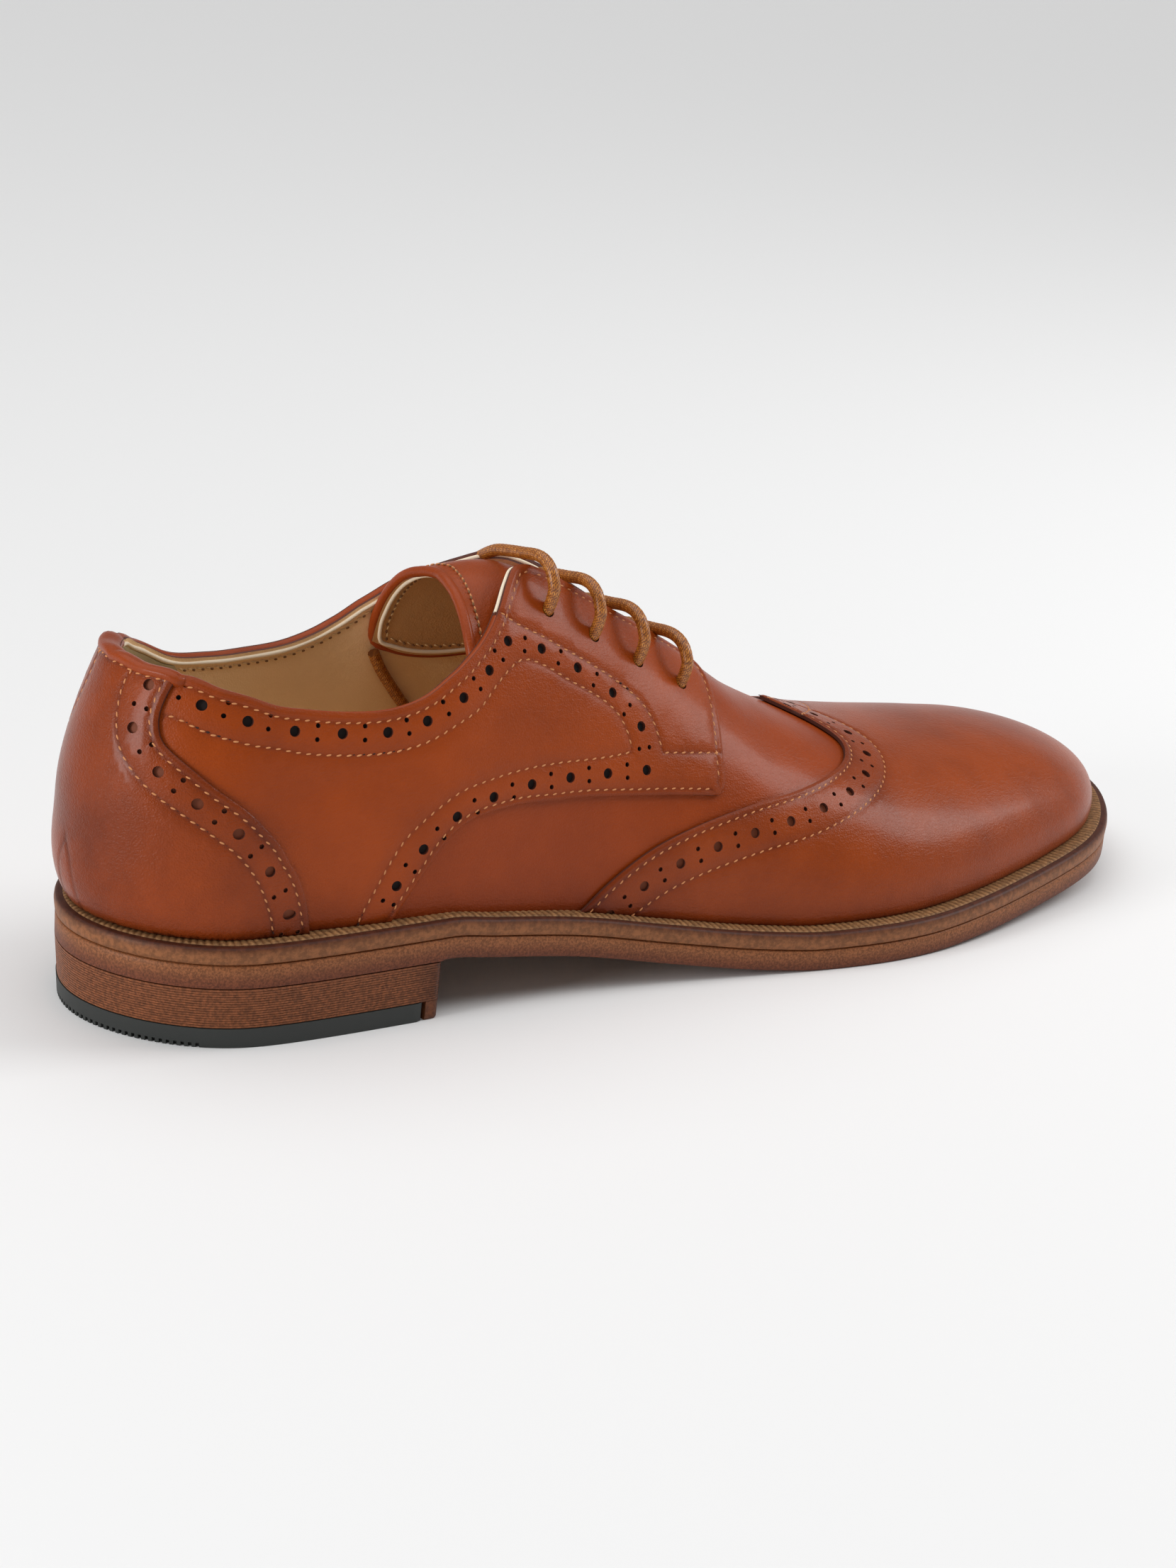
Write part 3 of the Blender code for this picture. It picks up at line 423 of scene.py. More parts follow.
def round_hole(place, radius, sides):
    """Flat outline that becomes a round hole on the last."""
    ahead = chart_point(place + np.array([CHART_STEP, 0])) - chart_point(place - np.array([CHART_STEP, 0]))
    up = chart_point(place + np.array([0, CHART_STEP])) - chart_point(place - np.array([0, CHART_STEP]))
    ahead /= np.linalg.norm(ahead)
    up -= ahead * (up @ ahead)
    up /= np.linalg.norm(up)
    turn = (np.arange(sides) * 2 * np.pi / sides)[:, None]
    return place + chart_moves(place, radius * (np.cos(turn) * ahead + np.sin(turn) * up))


def inside(places, loop):
    """Which flat places lie inside a closed outline."""
    x, y = places[:, 0], places[:, 1]
    found = np.zeros(len(places), bool)
    for (ax, ay), (bx, by) in zip(loop, np.roll(loop, -1, axis=0)):
        crosses = (ay > y) != (by > y)
        rise = by - ay if by != ay else 1
        found ^= crosses & (x < (bx - ax) * (y - ay) / rise + ax)
    return found


BESIDE_STEP = 0.002      # the longest move over the last in one go


def beside(line, distance):
    """A line of places moved square to itself over the last, to its left where the distance is positive."""
    count = max(1, math.ceil(abs(distance) / BESIDE_STEP))
    places = np.array(line, float)
    for _ in range(count):
        ahead = np.gradient(chart_point(places), axis=0)
        over = surface(places, 0.001) - surface(places, 0)
        left = unit(np.cross(over, ahead))
        places = places + chart_moves(places, left * distance / count)
    return places


def evenly(line, step, start=0.0, end=0.0):
    """Places along a line an even way apart over the last, leaving start and end free."""
    way = way_along(chart_point(line))
    count = max(1, round((way[-1] - start - end) / step))
    return line_at(line, way, np.linspace(start, way[-1] - end, count + 1))


def joined(*lines):
    """One line through lines that each start where the one before ends; its own last point is left out."""
    return np.vstack([line[:-1] for line in lines])


def nearest(points, targets):
    """Distance from each point to the nearest target."""
    tree = KDTree(len(targets))
    for i, target in enumerate(targets):
        tree.insert((*target, 0)[:3], i)
    tree.balance()
    return np.array([tree.find((*point, 0)[:3])[2] for point in points])


def patch(loops, lines, spacing):
    """Fine triangles inside the first loop that keep every loop and line as edges."""
    points = []
    edges = []
    for loop in loops:
        first = len(points)
        points += list(loop)
        edges += [(first + i, first + (i + 1) % len(loop)) for i in range(len(loop))]
    for line in lines:
        first = len(points)
        points += list(line)
        edges += [(first + i, first + i + 1) for i in range(len(line) - 1)]
    low = loops[0].min(0)
    high = loops[0].max(0)
    rows = np.arange(low[1], high[1], spacing * math.sqrt(3) / 2)
    columns = np.arange(low[0] - spacing, high[0], spacing)
    shift = np.where(np.arange(len(rows)) % 2, spacing / 2, 0)
    free = np.stack([columns[None] + shift[:, None], np.repeat(rows[:, None], len(columns), 1)], -1)
    free = free.reshape(-1, 2)
    free = free[inside(free, loops[0])]
    free = free[nearest(free, points) > spacing * 0.6]
    made = delaunay_2d_cdt([Vector(place) for place in points + list(free)], edges, [], 0, 1e-7)
    places = np.array([tuple(place) for place in made[0]])
    triangles = np.array([face for face in made[2] if len(face) == 3])
    keep = inside(places[triangles].mean(1), loops[0])
    return places, triangles[keep]


SHARP_EDGE = math.radians(50)    # a mesh is shaded smooth over edges less sharp than this


def thing(name, points, faces, finishes, picks=None):
    """A smooth mesh object that rides on the shoe. picks says which finish each face has."""
    mesh = bpy.data.meshes.new(name)
    mesh.from_pydata(np.asarray(points, float).tolist(), [], [tuple(map(int, face)) for face in faces])
    mesh.shade_smooth()
    for finish in finishes:
        mesh.materials.append(finish)
    if picks is not None:
        mesh.polygons.foreach_set("material_index", np.asarray(picks, np.int32))
    made = bpy.data.objects.new(name, mesh)
    bpy.context.collection.objects.link(made)
    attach(made, "root")
    return made


def share(made, name, values):
    """A number on every point of a mesh, for its shader."""
    attribute = made.data.attributes.new(name, "FLOAT", "POINT")
    attribute.data.foreach_set("value", np.asarray(values, np.float32))


def wall_faces(triangles, count):
    """Faces of a closed wall: the upper skin, the lower skin, and the edge between them."""
    directed = np.vstack([triangles[:, :2], triangles[:, 1:], triangles[:, [2, 0]]])
    known = set(map(tuple, directed))
    rim = [pair for pair in map(tuple, directed) if (pair[1], pair[0]) not in known]
    top = [(i + count, j + count, k + count) for i, j, k in triangles]
    bottom = [(k, j, i) for i, j, k in triangles]
    edge = [(i, j, j + count, i + count) for i, j in rim]
    return top, bottom, edge


def wall(name, places, triangles, lower, upper, finishes):
    """A closed wall between two skins. Finishes: of the upper skin, of the lower skin, of the edge."""
    used, triangles = np.unique(triangles, return_inverse=True)
    triangles = triangles.reshape(-1, 3)
    top, bottom, edge = wall_faces(triangles, len(used))
    picks = [0] * len(top) + [1] * len(bottom) + [2] * len(edge)
    made = thing(name, np.vstack([lower[used], upper[used]]), top + bottom + edge, finishes, picks)
    made.data.set_sharp_from_angle(angle=SHARP_EDGE)
    return made, used


def screen_colour(value):
    """A linear colour from one that is read off a screen, 0 to 255."""
    value = np.array(value) / 255
    return (*np.where(value > 0.04045, ((value + 0.055) / 1.055) ** 2.4, value / 12.92), 1.0)


def finish_tree(name):
    """A new finish, its nodes and its shader."""
    finish = bpy.data.materials.new(name)
    finish.use_nodes = True
    return finish, finish.node_tree, finish.node_tree.nodes["Principled BSDF"]


def fill(tree, made, entries):
    """Set a node's inputs: another node's output is linked, anything else is a value."""
    for key, entry in entries.items():
        if isinstance(entry, bpy.types.NodeSocket):
            tree.links.new(entry, made.inputs[key])
        else:
            made.inputs[key].default_value = entry


def node(tree, kind, output, entries, **modes):
    """A new node with its modes and inputs; gives one of its outputs."""
    made = tree.nodes.new("ShaderNode" + kind)
    for mode, choice in modes.items():
        setattr(made, mode, choice)
    fill(tree, made, entries)
    return made.outputs[output]


def leather(name, light, dark, roughness, grain, clouding=0.4):
    """Polished calf: pebbled grain, clouds of darker dye, and a darker colour where the piece's attribute says
    so, which in the seams and round the heel's hollow is painted shade.
    """
    finish, tree, shader = finish_tree(name)
    place = node(tree, "TexCoord", "Object", {})
    clouds = node(tree, "TexNoise", "Fac", {"Scale": 38, "Detail": 5, "Roughness": 0.6, "Vector": place})
    darkening_and_shade = node(tree, "Attribute", "Fac", {}, attribute_name="darkening_and_shade")
    spread = node(tree, "MapRange", "Result",
                  {"From Min": 0.35, "From Max": 0.75, "To Max": clouding, "Value": clouds})
    total = node(tree, "Math", "Value", {0: spread, 1: darkening_and_shade}, use_clamp=True)
    dyes = {"A": screen_colour(light), "B": screen_colour(dark), "Factor": total}
    colour = node(tree, "Mix", "Result", dyes, data_type="RGBA")
    pebbles = node(tree, "TexVoronoi", "Distance", {"Scale": 2400, "Vector": place})
    stretch = node(tree, "Mapping", "Vector",
                   {"Rotation": (0, math.radians(35), 0), "Scale": (0.55, 1, 1.3), "Vector": place})
    wrinkles = node(tree, "TexNoise", "Fac",
                    {"Scale": 1000, "Detail": 5, "Distortion": 0.8, "Vector": stretch})
    height = node(tree, "Math", "Value", {0: pebbles, 1: 0.4, 2: wrinkles}, operation="MULTIPLY_ADD")
    bump = node(tree, "Bump", "Normal", {"Strength": grain, "Distance": 0.0005, "Height": height})
    fill(tree, shader, {"Base Color": colour, "Normal": bump, "Roughness": roughness,
                        "Specular IOR Level": 0.15, "Coat Weight": 0.20, "Coat IOR": 1.4,
                        "Coat Roughness": 0.20})
    return finish


def plain(name, colour, roughness):
    """One even colour."""
    finish, tree, shader = finish_tree(name)
    fill(tree, shader, {"Base Color": screen_colour(colour), "Roughness": roughness})
    return finish


PANEL_STEP = 0.0019      # between the free points of a panel

# Soft troughs where the leather has given a little, the same on both sides of the shoe.
#           around  up     slant  length  width   depth
CREASES = ((0.135, 0.440, -38, 0.0080, 0.0016, 0.00022),
           (0.150, 0.425, -36, 0.0090, 0.0017, 0.00024),
           (0.166, 0.412, -33, 0.0080, 0.0016, 0.00018),
           (0.150, 0.375, -40, 0.0070, 0.0018, 0.00016),
           (0.255, 0.330, 12, 0.0160, 0.0050, 0.00030),
           (0.440, 0.560, 55, 0.0110, 0.0024, 0.00020),
           (0.470, 0.520, 60, 0.0120, 0.0026, 0.00022),
           (0.540, 0.560, 80, 0.0140, 0.0034, 0.00026),
           (0.565, 0.640, 84, 0.0130, 0.0032, 0.00022),
           (0.040, 0.235, 4, 0.0240, 0.0065, 0.00050))


def creased(places):
    """How far the soft troughs lower each place."""
    skin = chart_point(places)
    total = np.zeros(len(places))
    for around, up, slant, length, width, depth in CREASES:
        for side in (-1, 1):
            middle, ahead, above = chart_point(chart_place(side * np.array([around, around + 0.001, around]),
                                                           np.array([up, up, up + 0.001])))
            ahead = (ahead - middle) / np.linalg.norm(ahead - middle)
            above = (above - middle) / np.linalg.norm(above - middle)
            line = ahead * math.cos(math.radians(slant)) + above * math.sin(math.radians(slant))
            along = (skin - middle) @ line
            apart = ((skin - middle) ** 2).sum(1) - along ** 2
            total += depth * np.exp(-(along / length) ** 2 - apart / width ** 2)
    return total


BODY_STEP = 0.0032       # between the free points of the body
FOOT_DARKENING = 0.05      # up, how far the darkening above the welt reaches

tan = leather("tan_calf", (156, 63, 12), (96, 32, 7), 0.38, 0.35)
lining = leather("tan_lining", (252, 216, 168), (224, 184, 132), 0.75, 0.3)
raw_edge = plain("dark_cut_edge", (84, 38, 22), 0.7)

SIDES = (("outer", -1, OUTER_COLLAR, OUTER_FACING), ("inner", 1, INNER_COLLAR, INNER_FACING))


def both_sides(rows, spacing=EDGE_STEP):
    """The same line on each side of the last."""
    return {word: chart_line(rows, side, spacing) for word, side, *_ in SIDES}


collar = {word: chart_line(collar_rows, side) for word, side, collar_rows, _ in SIDES}
facing = {word: chart_line(facing_rows, side) for word, side, _, facing_rows in SIDES}
front = both_sides(FRONT_EDGE)
lower = both_sides(LOWER_EDGE)
back_half = both_sides(COLLAR_BACK[::-1])
slot_line = {word: facing[word][np.abs(chart_rib(facing[word])[0]) < THROAT_END] for word, *_ in SIDES}
slot_bend = chart_place(THROAT_END + THROAT_ROUND, 1)
slot_end = smooth_line([slot_line["outer"][-1], slot_bend, slot_line["inner"][-1]], EDGE_STEP)
opening = joined(back_half["outer"][::-1], back_half["inner"], collar["inner"], slot_line["inner"],
                 slot_end[::-1], slot_line["outer"][::-1], collar["outer"][::-1])
foot_line = chart_place(np.linspace(-1, 1, 421)[:-1], 0)
eyelets = {word: [round_hole(chart_place(side * around, up), EYELET_RADIUS, EYELET_SIDES)
                  for around, up in EYELETS] for word, side, *_ in SIDES}
places, triangles = patch([foot_line, opening] + eyelets["outer"] + eyelets["inner"], [], BODY_STEP)
centres = places[triangles].mean(1)
keep = ~inside(centres, opening)
for hole in eyelets["outer"] + eyelets["inner"]:
    keep &= ~inside(centres, hole)
body, used = wall("upper_body", places, triangles[keep], on_last(places, -UPPER_WALL), on_last(places, 0),
                  [tan, lining, raw_edge])
up = chart_rib(places[used])[1]
share(body, "darkening_and_shade", np.tile(np.exp(-up / FOOT_DARKENING) * 0.45, 2))
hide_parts("upper")


# The quarters: two panels of tan calf over the body, stitched to it along their edges.
# A band of punched holes follows the collar, the eyestay and the swan-neck seam. Linen thread.

# Seams and rows of holes of the outer side, seen in the photograph. Columns: around, up.
BAND_SEAM = ((0.088, 0.480), (0.127, 0.458), (0.156, 0.441), (0.189, 0.422), (0.225, 0.400), (0.250, 0.382),
             (0.276, 0.371), (0.296, 0.374), (0.316, 0.394), (0.334, 0.432), (0.347, 0.480), (0.358, 0.516),
             (0.366, 0.536), (0.373, 0.541), (0.387, 0.530), (0.399, 0.515), (0.412, 0.506), (0.424, 0.498),
             (0.432, 0.482), (0.436, 0.458), (0.438, 0.430), (0.438, 0.408))
EYESTAY_SEAM = ((0.358, 0.640), (0.369, 0.617), (0.385, 0.599), (0.400, 0.583), (0.416, 0.574), (0.432, 0.567),
                (0.444, 0.556), (0.452, 0.538), (0.457, 0.505), (0.459, 0.465), (0.460, 0.437))
FLAP_SEAM = ((0.460, 0.437), (0.481, 0.470), (0.502, 0.505))
SWAN_SEAM = ((0.438, 0.408), (0.423, 0.380), (0.406, 0.358), (0.384, 0.341), (0.365, 0.329), (0.346, 0.313),
             (0.329, 0.291), (0.313, 0.264), (0.299, 0.232), (0.289, 0.200), (0.281, 0.155), (0.274, 0.100),
             (0.268, 0.045), (0.265, 0.006))
BIG_HOLES = ((0.076, 0.533), (0.125, 0.503), (0.178, 0.470), (0.227, 0.437), (0.256, 0.419), (0.281, 0.408),
             (0.303, 0.416), (0.325, 0.450), (0.344, 0.511), (0.360, 0.575), (0.383, 0.569), (0.407, 0.549),
             (0.430, 0.528), (0.447, 0.479), (0.447, 0.380), (0.420, 0.342), (0.394, 0.317), (0.367, 0.299),
             (0.341, 0.273), (0.318, 0.231), (0.299, 0.175), (0.285, 0.100), (0.277, 0.020))
# The inner side's collar is lower. Columns: around, how much lower.
INNER_DROP = ((0.096, 0.0), (0.149, 0.010), (0.205, 0.025), (0.238, 0.024), (0.266, 0.012), (0.295, 0.006),
              (0.33, 0))
DROP_FOOT = 0.2          # up: below it nothing drops, and at twice this height all of the drop counts

BIG_HOLE = 0.00122
SMALL_HOLE = 0.00056
PAIR_REACH = 0.0015      # from the row's line to each small hole
STITCH_PITCH = 0.0024
STITCH_RINGS = 5         # from one end of a stitch to the other
STITCH_SIDES = 8
STITCH_SLANT = math.radians(14)
STITCH_SIZE = (0.00064, 0.00024, 0.00024)        # half its length, width and height
NEEDLE_HOLE_SIZE = (0.00046, 0.00030, 0.00013)
NEEDLE_HOLE_SINK = 0.00008
GROOVE = 0.00028         # depth of a seam
SEAM_SIDE = 0.00075      # from a seam to the finer rows beside it
EDGE_ROLL = 0.0007       # width of a rolled edge and of half a seam's groove
EDGE_DROP = 0.0005       # how much a rolled edge falls
EDGE_ROW = 0.0006        # from a panel's edge to the finer row beside it
EDGE_CALM = 0.004        # creases fade out over this way to an edge
TRACK_STEP = 0.0004      # between the points that edges and seams are measured to
HOLE_NEAR = 0.004        # a triangle further off than this isn't in the hole
SEAM_GROOVE_SHADE = 0.0006    # reach of the painted shade in and beside a seam's groove
EDGE_DARKENING = 0.0012    # reach of the darker colour beside a panel's edge
UNDERLAY_LIFT = 0.00002
UNDERLAY = 0.0002
COLLAR_SEAM_IN = 0.0022  # from the panel's edge to the seam along it
FACING_SEAM_IN = 0.0024
FRONT_SEAM_IN = 0.0022
LOWER_SEAM_IN = 0.0014

quarter_leather = leather("quarter_calf", (162, 67, 11), (98, 34, 7), 0.38, 0.38)
thread = plain("linen_thread", (208, 138, 86), 0.75)
# Dark beads that stand for the shade inside needle holes: painted shade, on the leather and on the lining.
needle_hole_shade = plain("needle_hole_painted_shade", (52, 24, 16), 0.9)
lining_hole_shade = plain("lining_needle_hole_painted_shade", (128, 92, 58), 0.9)
dark_floor = plain("dark_underlay", (30, 20, 18), 0.9)
brown_floor = plain("brown_underlay", (128, 62, 30), 0.7)


def sided(rows, side):
    """Rows of around and up on one side; on the inner one they follow its lower collar."""
    if side < 0:
        return list(rows)
    drop_around, drops = np.array(INNER_DROP).T
    return [(around, up - np.interp(around, drop_around, drops) * np.clip(up / DROP_FOOT - 1, 0, 1))
            for around, up in rows]


def seam(rows, side):
    """A seam's line on one side."""
    return chart_line(sided(rows, side), side)


def holes_along(row_places, first=0, last=None, big_sides=16, small_sides=10):
    """Round holes at a row's places from first to last, and pairs of small ones across it between them."""
    big = [round_hole(place, BIG_HOLE, big_sides) for place in row_places[first:last]]
    small = []
    for before, after in zip(row_places[:-1], row_places[1:]):
        middle = np.vstack([before, (before + after) / 2, after])
        for way in (-PAIR_REACH, PAIR_REACH):
            small.append(round_hole(beside(middle, way)[1], SMALL_HOLE, small_sides))
    return big + small


def panel(name, loop, seams, holes, height, top, finish, floor, edges=(), through=(), shade=None):
    """A leather panel: rolled edges, seams pressed in as grooves, holes punched through to an underlay."""
    tracks = []
    for line in seams:
        tracks += [line, beside(line, SEAM_SIDE), beside(line, -SEAM_SIDE)]
    rings = [beside(line, way) for line, way in edges]
    places, triangles = patch([loop] + holes + list(through), tracks + rings, PANEL_STEP)
    centres = places[triangles].mean(1)
    punched = np.zeros(len(triangles), bool)
    clear = np.zeros(len(triangles), bool)
    for loops, found in ((holes, punched), (through, clear)):
        for hole in loops:
            near = np.abs(centres - hole.mean(0)).max(1) < HOLE_NEAR
            found[near] |= inside(centres[near], hole)
    skin = chart_point(places)
    to_edge = nearest(skin, chart_point(smooth_line(np.vstack([loop, loop[:1]]), TRACK_STEP)))
    to_seam = nearest(skin, chart_point(np.vstack([smooth_line(line, TRACK_STEP) for line in seams])))
    rise = top - EDGE_DROP * np.clip(1 - to_edge / EDGE_ROLL, 0, 1) ** 2
    creasing = creased(places) * np.clip(to_edge / EDGE_CALM, 0, 1)
    rise -= GROOVE * np.clip(1 - to_seam / EDGE_ROLL, 0, 1) + creasing
    made, used = wall(name, places, triangles[~punched & ~clear], on_last(places, height),
                      on_last(places, rise), [finish, finish, raw_edge])
    # Darker colour: painted shade in the seams' grooves, and darker beside the edges and towards the foot.
    darkening_and_shade = 0.4 * np.exp(-to_seam / SEAM_GROOVE_SHADE) + 0.3 * np.exp(-to_edge / EDGE_DARKENING)
    darkening_and_shade += 0.4 * np.exp(-chart_rib(places)[1] / FOOT_DARKENING)
    # shade: extra painted shade, such as the counter's hollow band.
    if shade is not None:
        darkening_and_shade += shade(*chart_rib(places))
    share(made, "darkening_and_shade", np.tile(darkening_and_shade[used], 2))
    if punched.any():
        wall(name + "_underlay", places, triangles[punched], on_last(places, height + UNDERLAY_LIFT),
             on_last(places, height + UNDERLAY_LIFT + UNDERLAY), [floor] * 3)
    return made


def stitches(name, lines, top, finish=None, skin_of=on_last):
    """Thread in short stitches that dip into needle holes at both ends, with sunk dark beads between them as
    painted shade in the needle holes.
    """
    rings = STITCH_RINGS
    sides = STITCH_SIDES
    turn = np.arange(sides) * 2 * np.pi / sides
    bead = [(-1.0, 0.0, 0.0)]
    for i in range(1, rings):
        angle = np.pi * i / rings
        bead += [(-math.cos(angle), math.sin(angle) * math.cos(a), math.sin(angle) * math.sin(a))
                 for a in turn]
    bead = np.array(bead + [(1.0, 0.0, 0.0)])
    faces = [(0, 1 + (i + 1) % sides, 1 + i) for i in range(sides)]
    for ring in range(rings - 2):
        low = 1 + ring * sides
        faces += [(low + i, low + (i + 1) % sides, low + sides + (i + 1) % sides, low + sides + i)
                  for i in range(sides)]
    last = len(bead) - 1
    faces += [(last, last - sides + i, last - sides + (i + 1) % sides) for i in range(sides)]
    faces = [face[::-1] for face in faces]
    centres = []
    ways = []
    normals = []
    for line in lines:
        places = evenly(line, STITCH_PITCH / 2)
        places = places[:len(places) - (len(places) + 1) % 2]
        skin = skin_of(places, top)
        centres.append(skin[1::2])
        ways.append(skin[2::2] - skin[:-2:2])
        normals.append(skin_of(places[1::2], top + 0.001) - skin[1::2])
    centres = np.vstack(centres)
    normals = unit(np.vstack(normals))
    ways = np.vstack(ways)
    ways = unit(ways - normals * (ways * normals).sum(1, keepdims=True))
    across = np.cross(normals, ways)
    slanted = ways * math.cos(STITCH_SLANT) + across * math.sin(STITCH_SLANT)
    across = across * math.cos(STITCH_SLANT) - ways * math.sin(STITCH_SLANT)
    ways = slanted

    def beads(sizes, shift, sink):
        middle = centres + ways * shift + normals * sink
        x = bead[None, :, :1] * sizes[0] * ways[:, None]
        y = bead[None, :, 1:2] * sizes[1] * across[:, None]
        z = bead[None, :, 2:] * sizes[2] * normals[:, None]
        return (middle[:, None] + x + y + z).reshape(-1, 3)
    every = [tuple(i + k * len(bead) for i in face) for k in range(len(centres)) for face in faces]
    thing(name, beads(STITCH_SIZE, 0, 0), every, [finish or thread])
    # Sunk dark beads between the stitches: painted shade in the needle holes.
    thing(name + "_needle_hole_painted_shade", beads(NEEDLE_HOLE_SIZE, STITCH_PITCH / 2, -NEEDLE_HOLE_SINK), every,
          [lining_hole_shade if finish else needle_hole_shade])


seam_back = chart_place(0, np.linspace(0, COLLAR_BACK[2][1], 50))
foot_share = LOWER_EDGE[-1][0]
for word, side, *_ in SIDES:
    foot_part = chart_place(side * np.linspace(foot_share, 0, 66), 0)
    loop = joined(seam_back, back_half[word], collar[word], facing[word], front[word], lower[word], foot_part)
    inner_rows = [seam(rows, side) for rows in (BAND_SEAM, EYESTAY_SEAM, FLAP_SEAM, SWAN_SEAM)]
    edge_seams = [evenly(beside(collar[word], side * COLLAR_SEAM_IN), EDGE_STEP, 0.001, 0.0015),
                  evenly(beside(facing[word], side * FACING_SEAM_IN), EDGE_STEP, 0.001, 0.003),
                  evenly(beside(front[word], side * FRONT_SEAM_IN), EDGE_STEP, 0.002, 0.002),
                  evenly(beside(lower[word], side * LOWER_SEAM_IN), EDGE_STEP, 0.0025, 0.001)]
    row = [chart_place(side * around, up) for around, up in sided(BIG_HOLES, side)]
    edges = [(line[word], side * EDGE_ROW) for line in (collar, facing, front, lower)]
    seams = inner_rows + edge_seams
    quarter = panel(f"quarter_{word}_leather", loop, seams, holes_along(row, 1, -1), FIRST_TOP - OVERLAY_WALL,
                    FIRST_TOP, quarter_leather, dark_floor, edges, eyelets[word])
    stitches(f"quarter_{word}_thread", seams, FIRST_TOP - GROOVE)
    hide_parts(f"quarter_{word}")


# The heel counter: a third layer of calf round the heel, a little darker, with painted shade in a band round
# its hollow, stitched on with two rows.
# Its holes show the leather under it. Its foot is lasted in with the body.

COUNTER_SEAM = ((0.041, 0.552), (0.035, 0.520), (0.038, 0.470), (0.048, 0.420), (0.067, 0.378), (0.092, 0.340),
                (0.121, 0.303), (0.147, 0.264), (0.172, 0.214), (0.189, 0.155), (0.200, 0.090), (0.205, 0.045),
                (0.206, 0.004))
COUNTER_HOLES = ((0.066, 0.528), (0.060, 0.450), (0.092, 0.382), (0.129, 0.330), (0.167, 0.270),
                 (0.199, 0.182), (0.219, 0.070), (0.221, -0.045))
# Each half of the pointed tuck at the foot of the back.
BACK_TUCK = ((0.012, 0.020), (0.013, 0.100), (0.009, 0.165), (0.001, 0.200))
BACK_SEAM_IN = 0.0024        # from the counter's top to the seam along it
OVERLAY_SEAM_IN = 0.0017     # from the counter's and the wing's edge to the seam along it


def counter_painted_shade(around, up):
    """Painted shade in a hollow band round the heel, and a darker patch at the top of the back."""
    hollow = np.exp(-((up - 0.27) / 0.07) ** 2) * np.exp(-(around / 0.13) ** 2)
    return 0.25 * hollow + 0.15 * np.exp(-((up - 0.40) / 0.05) ** 2) * np.exp(-(around / 0.03) ** 2)


counter_leather = leather("counter_calf", (152, 63, 15), (86, 30, 8), 0.30, 0.45, 0.6)
counter_edge = both_sides(COUNTER_EDGE)
counter_share = COUNTER_EDGE[-1][0]
counter_foot = chart_place(np.linspace(counter_share, -counter_share, 130), 0)
loop = joined(back_half["outer"][::-1], back_half["inner"], counter_edge["inner"], counter_foot,
              counter_edge["outer"][::-1])
seams = []
holes = []
edges = []
for word, side, *_ in SIDES:
    seams += [seam(COUNTER_SEAM, side),
              evenly(beside(counter_edge[word], side * OVERLAY_SEAM_IN), EDGE_STEP, 0.001, 0.001),
              evenly(beside(back_half[word], side * BACK_SEAM_IN), EDGE_STEP, 0.0, 0.002)]
    holes += holes_along([chart_place(side * around, up) for around, up in COUNTER_HOLES], 0, -1)
    edges += [(counter_edge[word], side * EDGE_ROW), (back_half[word], side * EDGE_ROW)]
tucks = [chart_line(BACK_TUCK, side) for side in (-1, 1)]
counter = panel("heel_counter_leather", loop, seams + tucks, holes, SECOND_TOP - OVERLAY_WALL, SECOND_TOP,
                counter_leather, brown_floor, edges, shade=counter_painted_shade)
stitches("heel_counter_thread", seams, SECOND_TOP - GROOVE)
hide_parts("heel_counter")


# The wing tip: an overlay of the same calf over the toe, with a band of holes behind its edge.
# Its edge runs out of the photograph, so the peak in front is a guess with the quarters' kind of band.

WING_SEAM_IN = 0.0112    # from the wing's edge to its second seam
WING_HOLES_IN = 0.0064
WING_HOLE_PITCH = 0.0105

wing_leather = leather("wing_calf", (155, 66, 18), (88, 29, 9), 0.33, 0.38, 0.5)
wing_edge = both_sides(WING_EDGE)
wing_share = WING_EDGE[0][0]
shares = np.append(np.linspace(wing_share, 1, 170), np.linspace(-1, -wing_share, 170)[1:])
wing_foot = chart_place(shares, 0)
loop = joined(wing_edge["outer"], wing_edge["inner"][::-1], wing_foot)
seams = []
holes = []
edges = []
for word, side, *_ in SIDES:
    seams += [evenly(beside(wing_edge[word], side * OVERLAY_SEAM_IN), EDGE_STEP, 0.001, 0.001),
              evenly(beside(wing_edge[word], side * WING_SEAM_IN), EDGE_STEP, 0.001, 0.0)]
    holes += holes_along(evenly(beside(wing_edge[word], side * WING_HOLES_IN), WING_HOLE_PITCH, 0.005, 0.004))
    edges.append((wing_edge[word], side * EDGE_ROW))
wing = panel("toe_wing_leather", loop, seams, holes, FIRST_TOP - OVERLAY_WALL, FIRST_TOP, wing_leather,
             brown_floor, edges)
stitches("toe_wing_thread", seams, FIRST_TOP - GROOVE)
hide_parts("toe_wing")


# The collar's binding: the quarters' leather is folded over the collar's edge and stitched down. It ends
# where the eyestay begins. Inside, the folded leather's pale raw edge shows above the lining's own seam.

BINDING = 0.00147        # half its thickness
BINDING_END = 0.357      # share of the half perimeter
BINDING_IN = 0.0012      # from the collar's edge to the binding's middle
BINDING_LIFT = 0.00005
COUNTER_RISE = 0.0007    # how much the binding lies higher over the counter
COUNTER_SWELL = (0.0013, 0.0002)     # how much wider and thicker it is there
RAW_EDGE_IN = 0.0013     # from the collar's edge to the raw edge inside
RAW_EDGE = 0.0005
RAW_EDGE_OUT = 0.0001    # how far its middle stands out of the lining
LINING_SEAM_IN = 0.0028
LINING_THREAD_OUT = 0.00015
EYESTAY_EDGE = 0.00055
EYESTAY_EDGE_IN = 0.0002
EYESTAY_EDGE_SINK = 0.0004

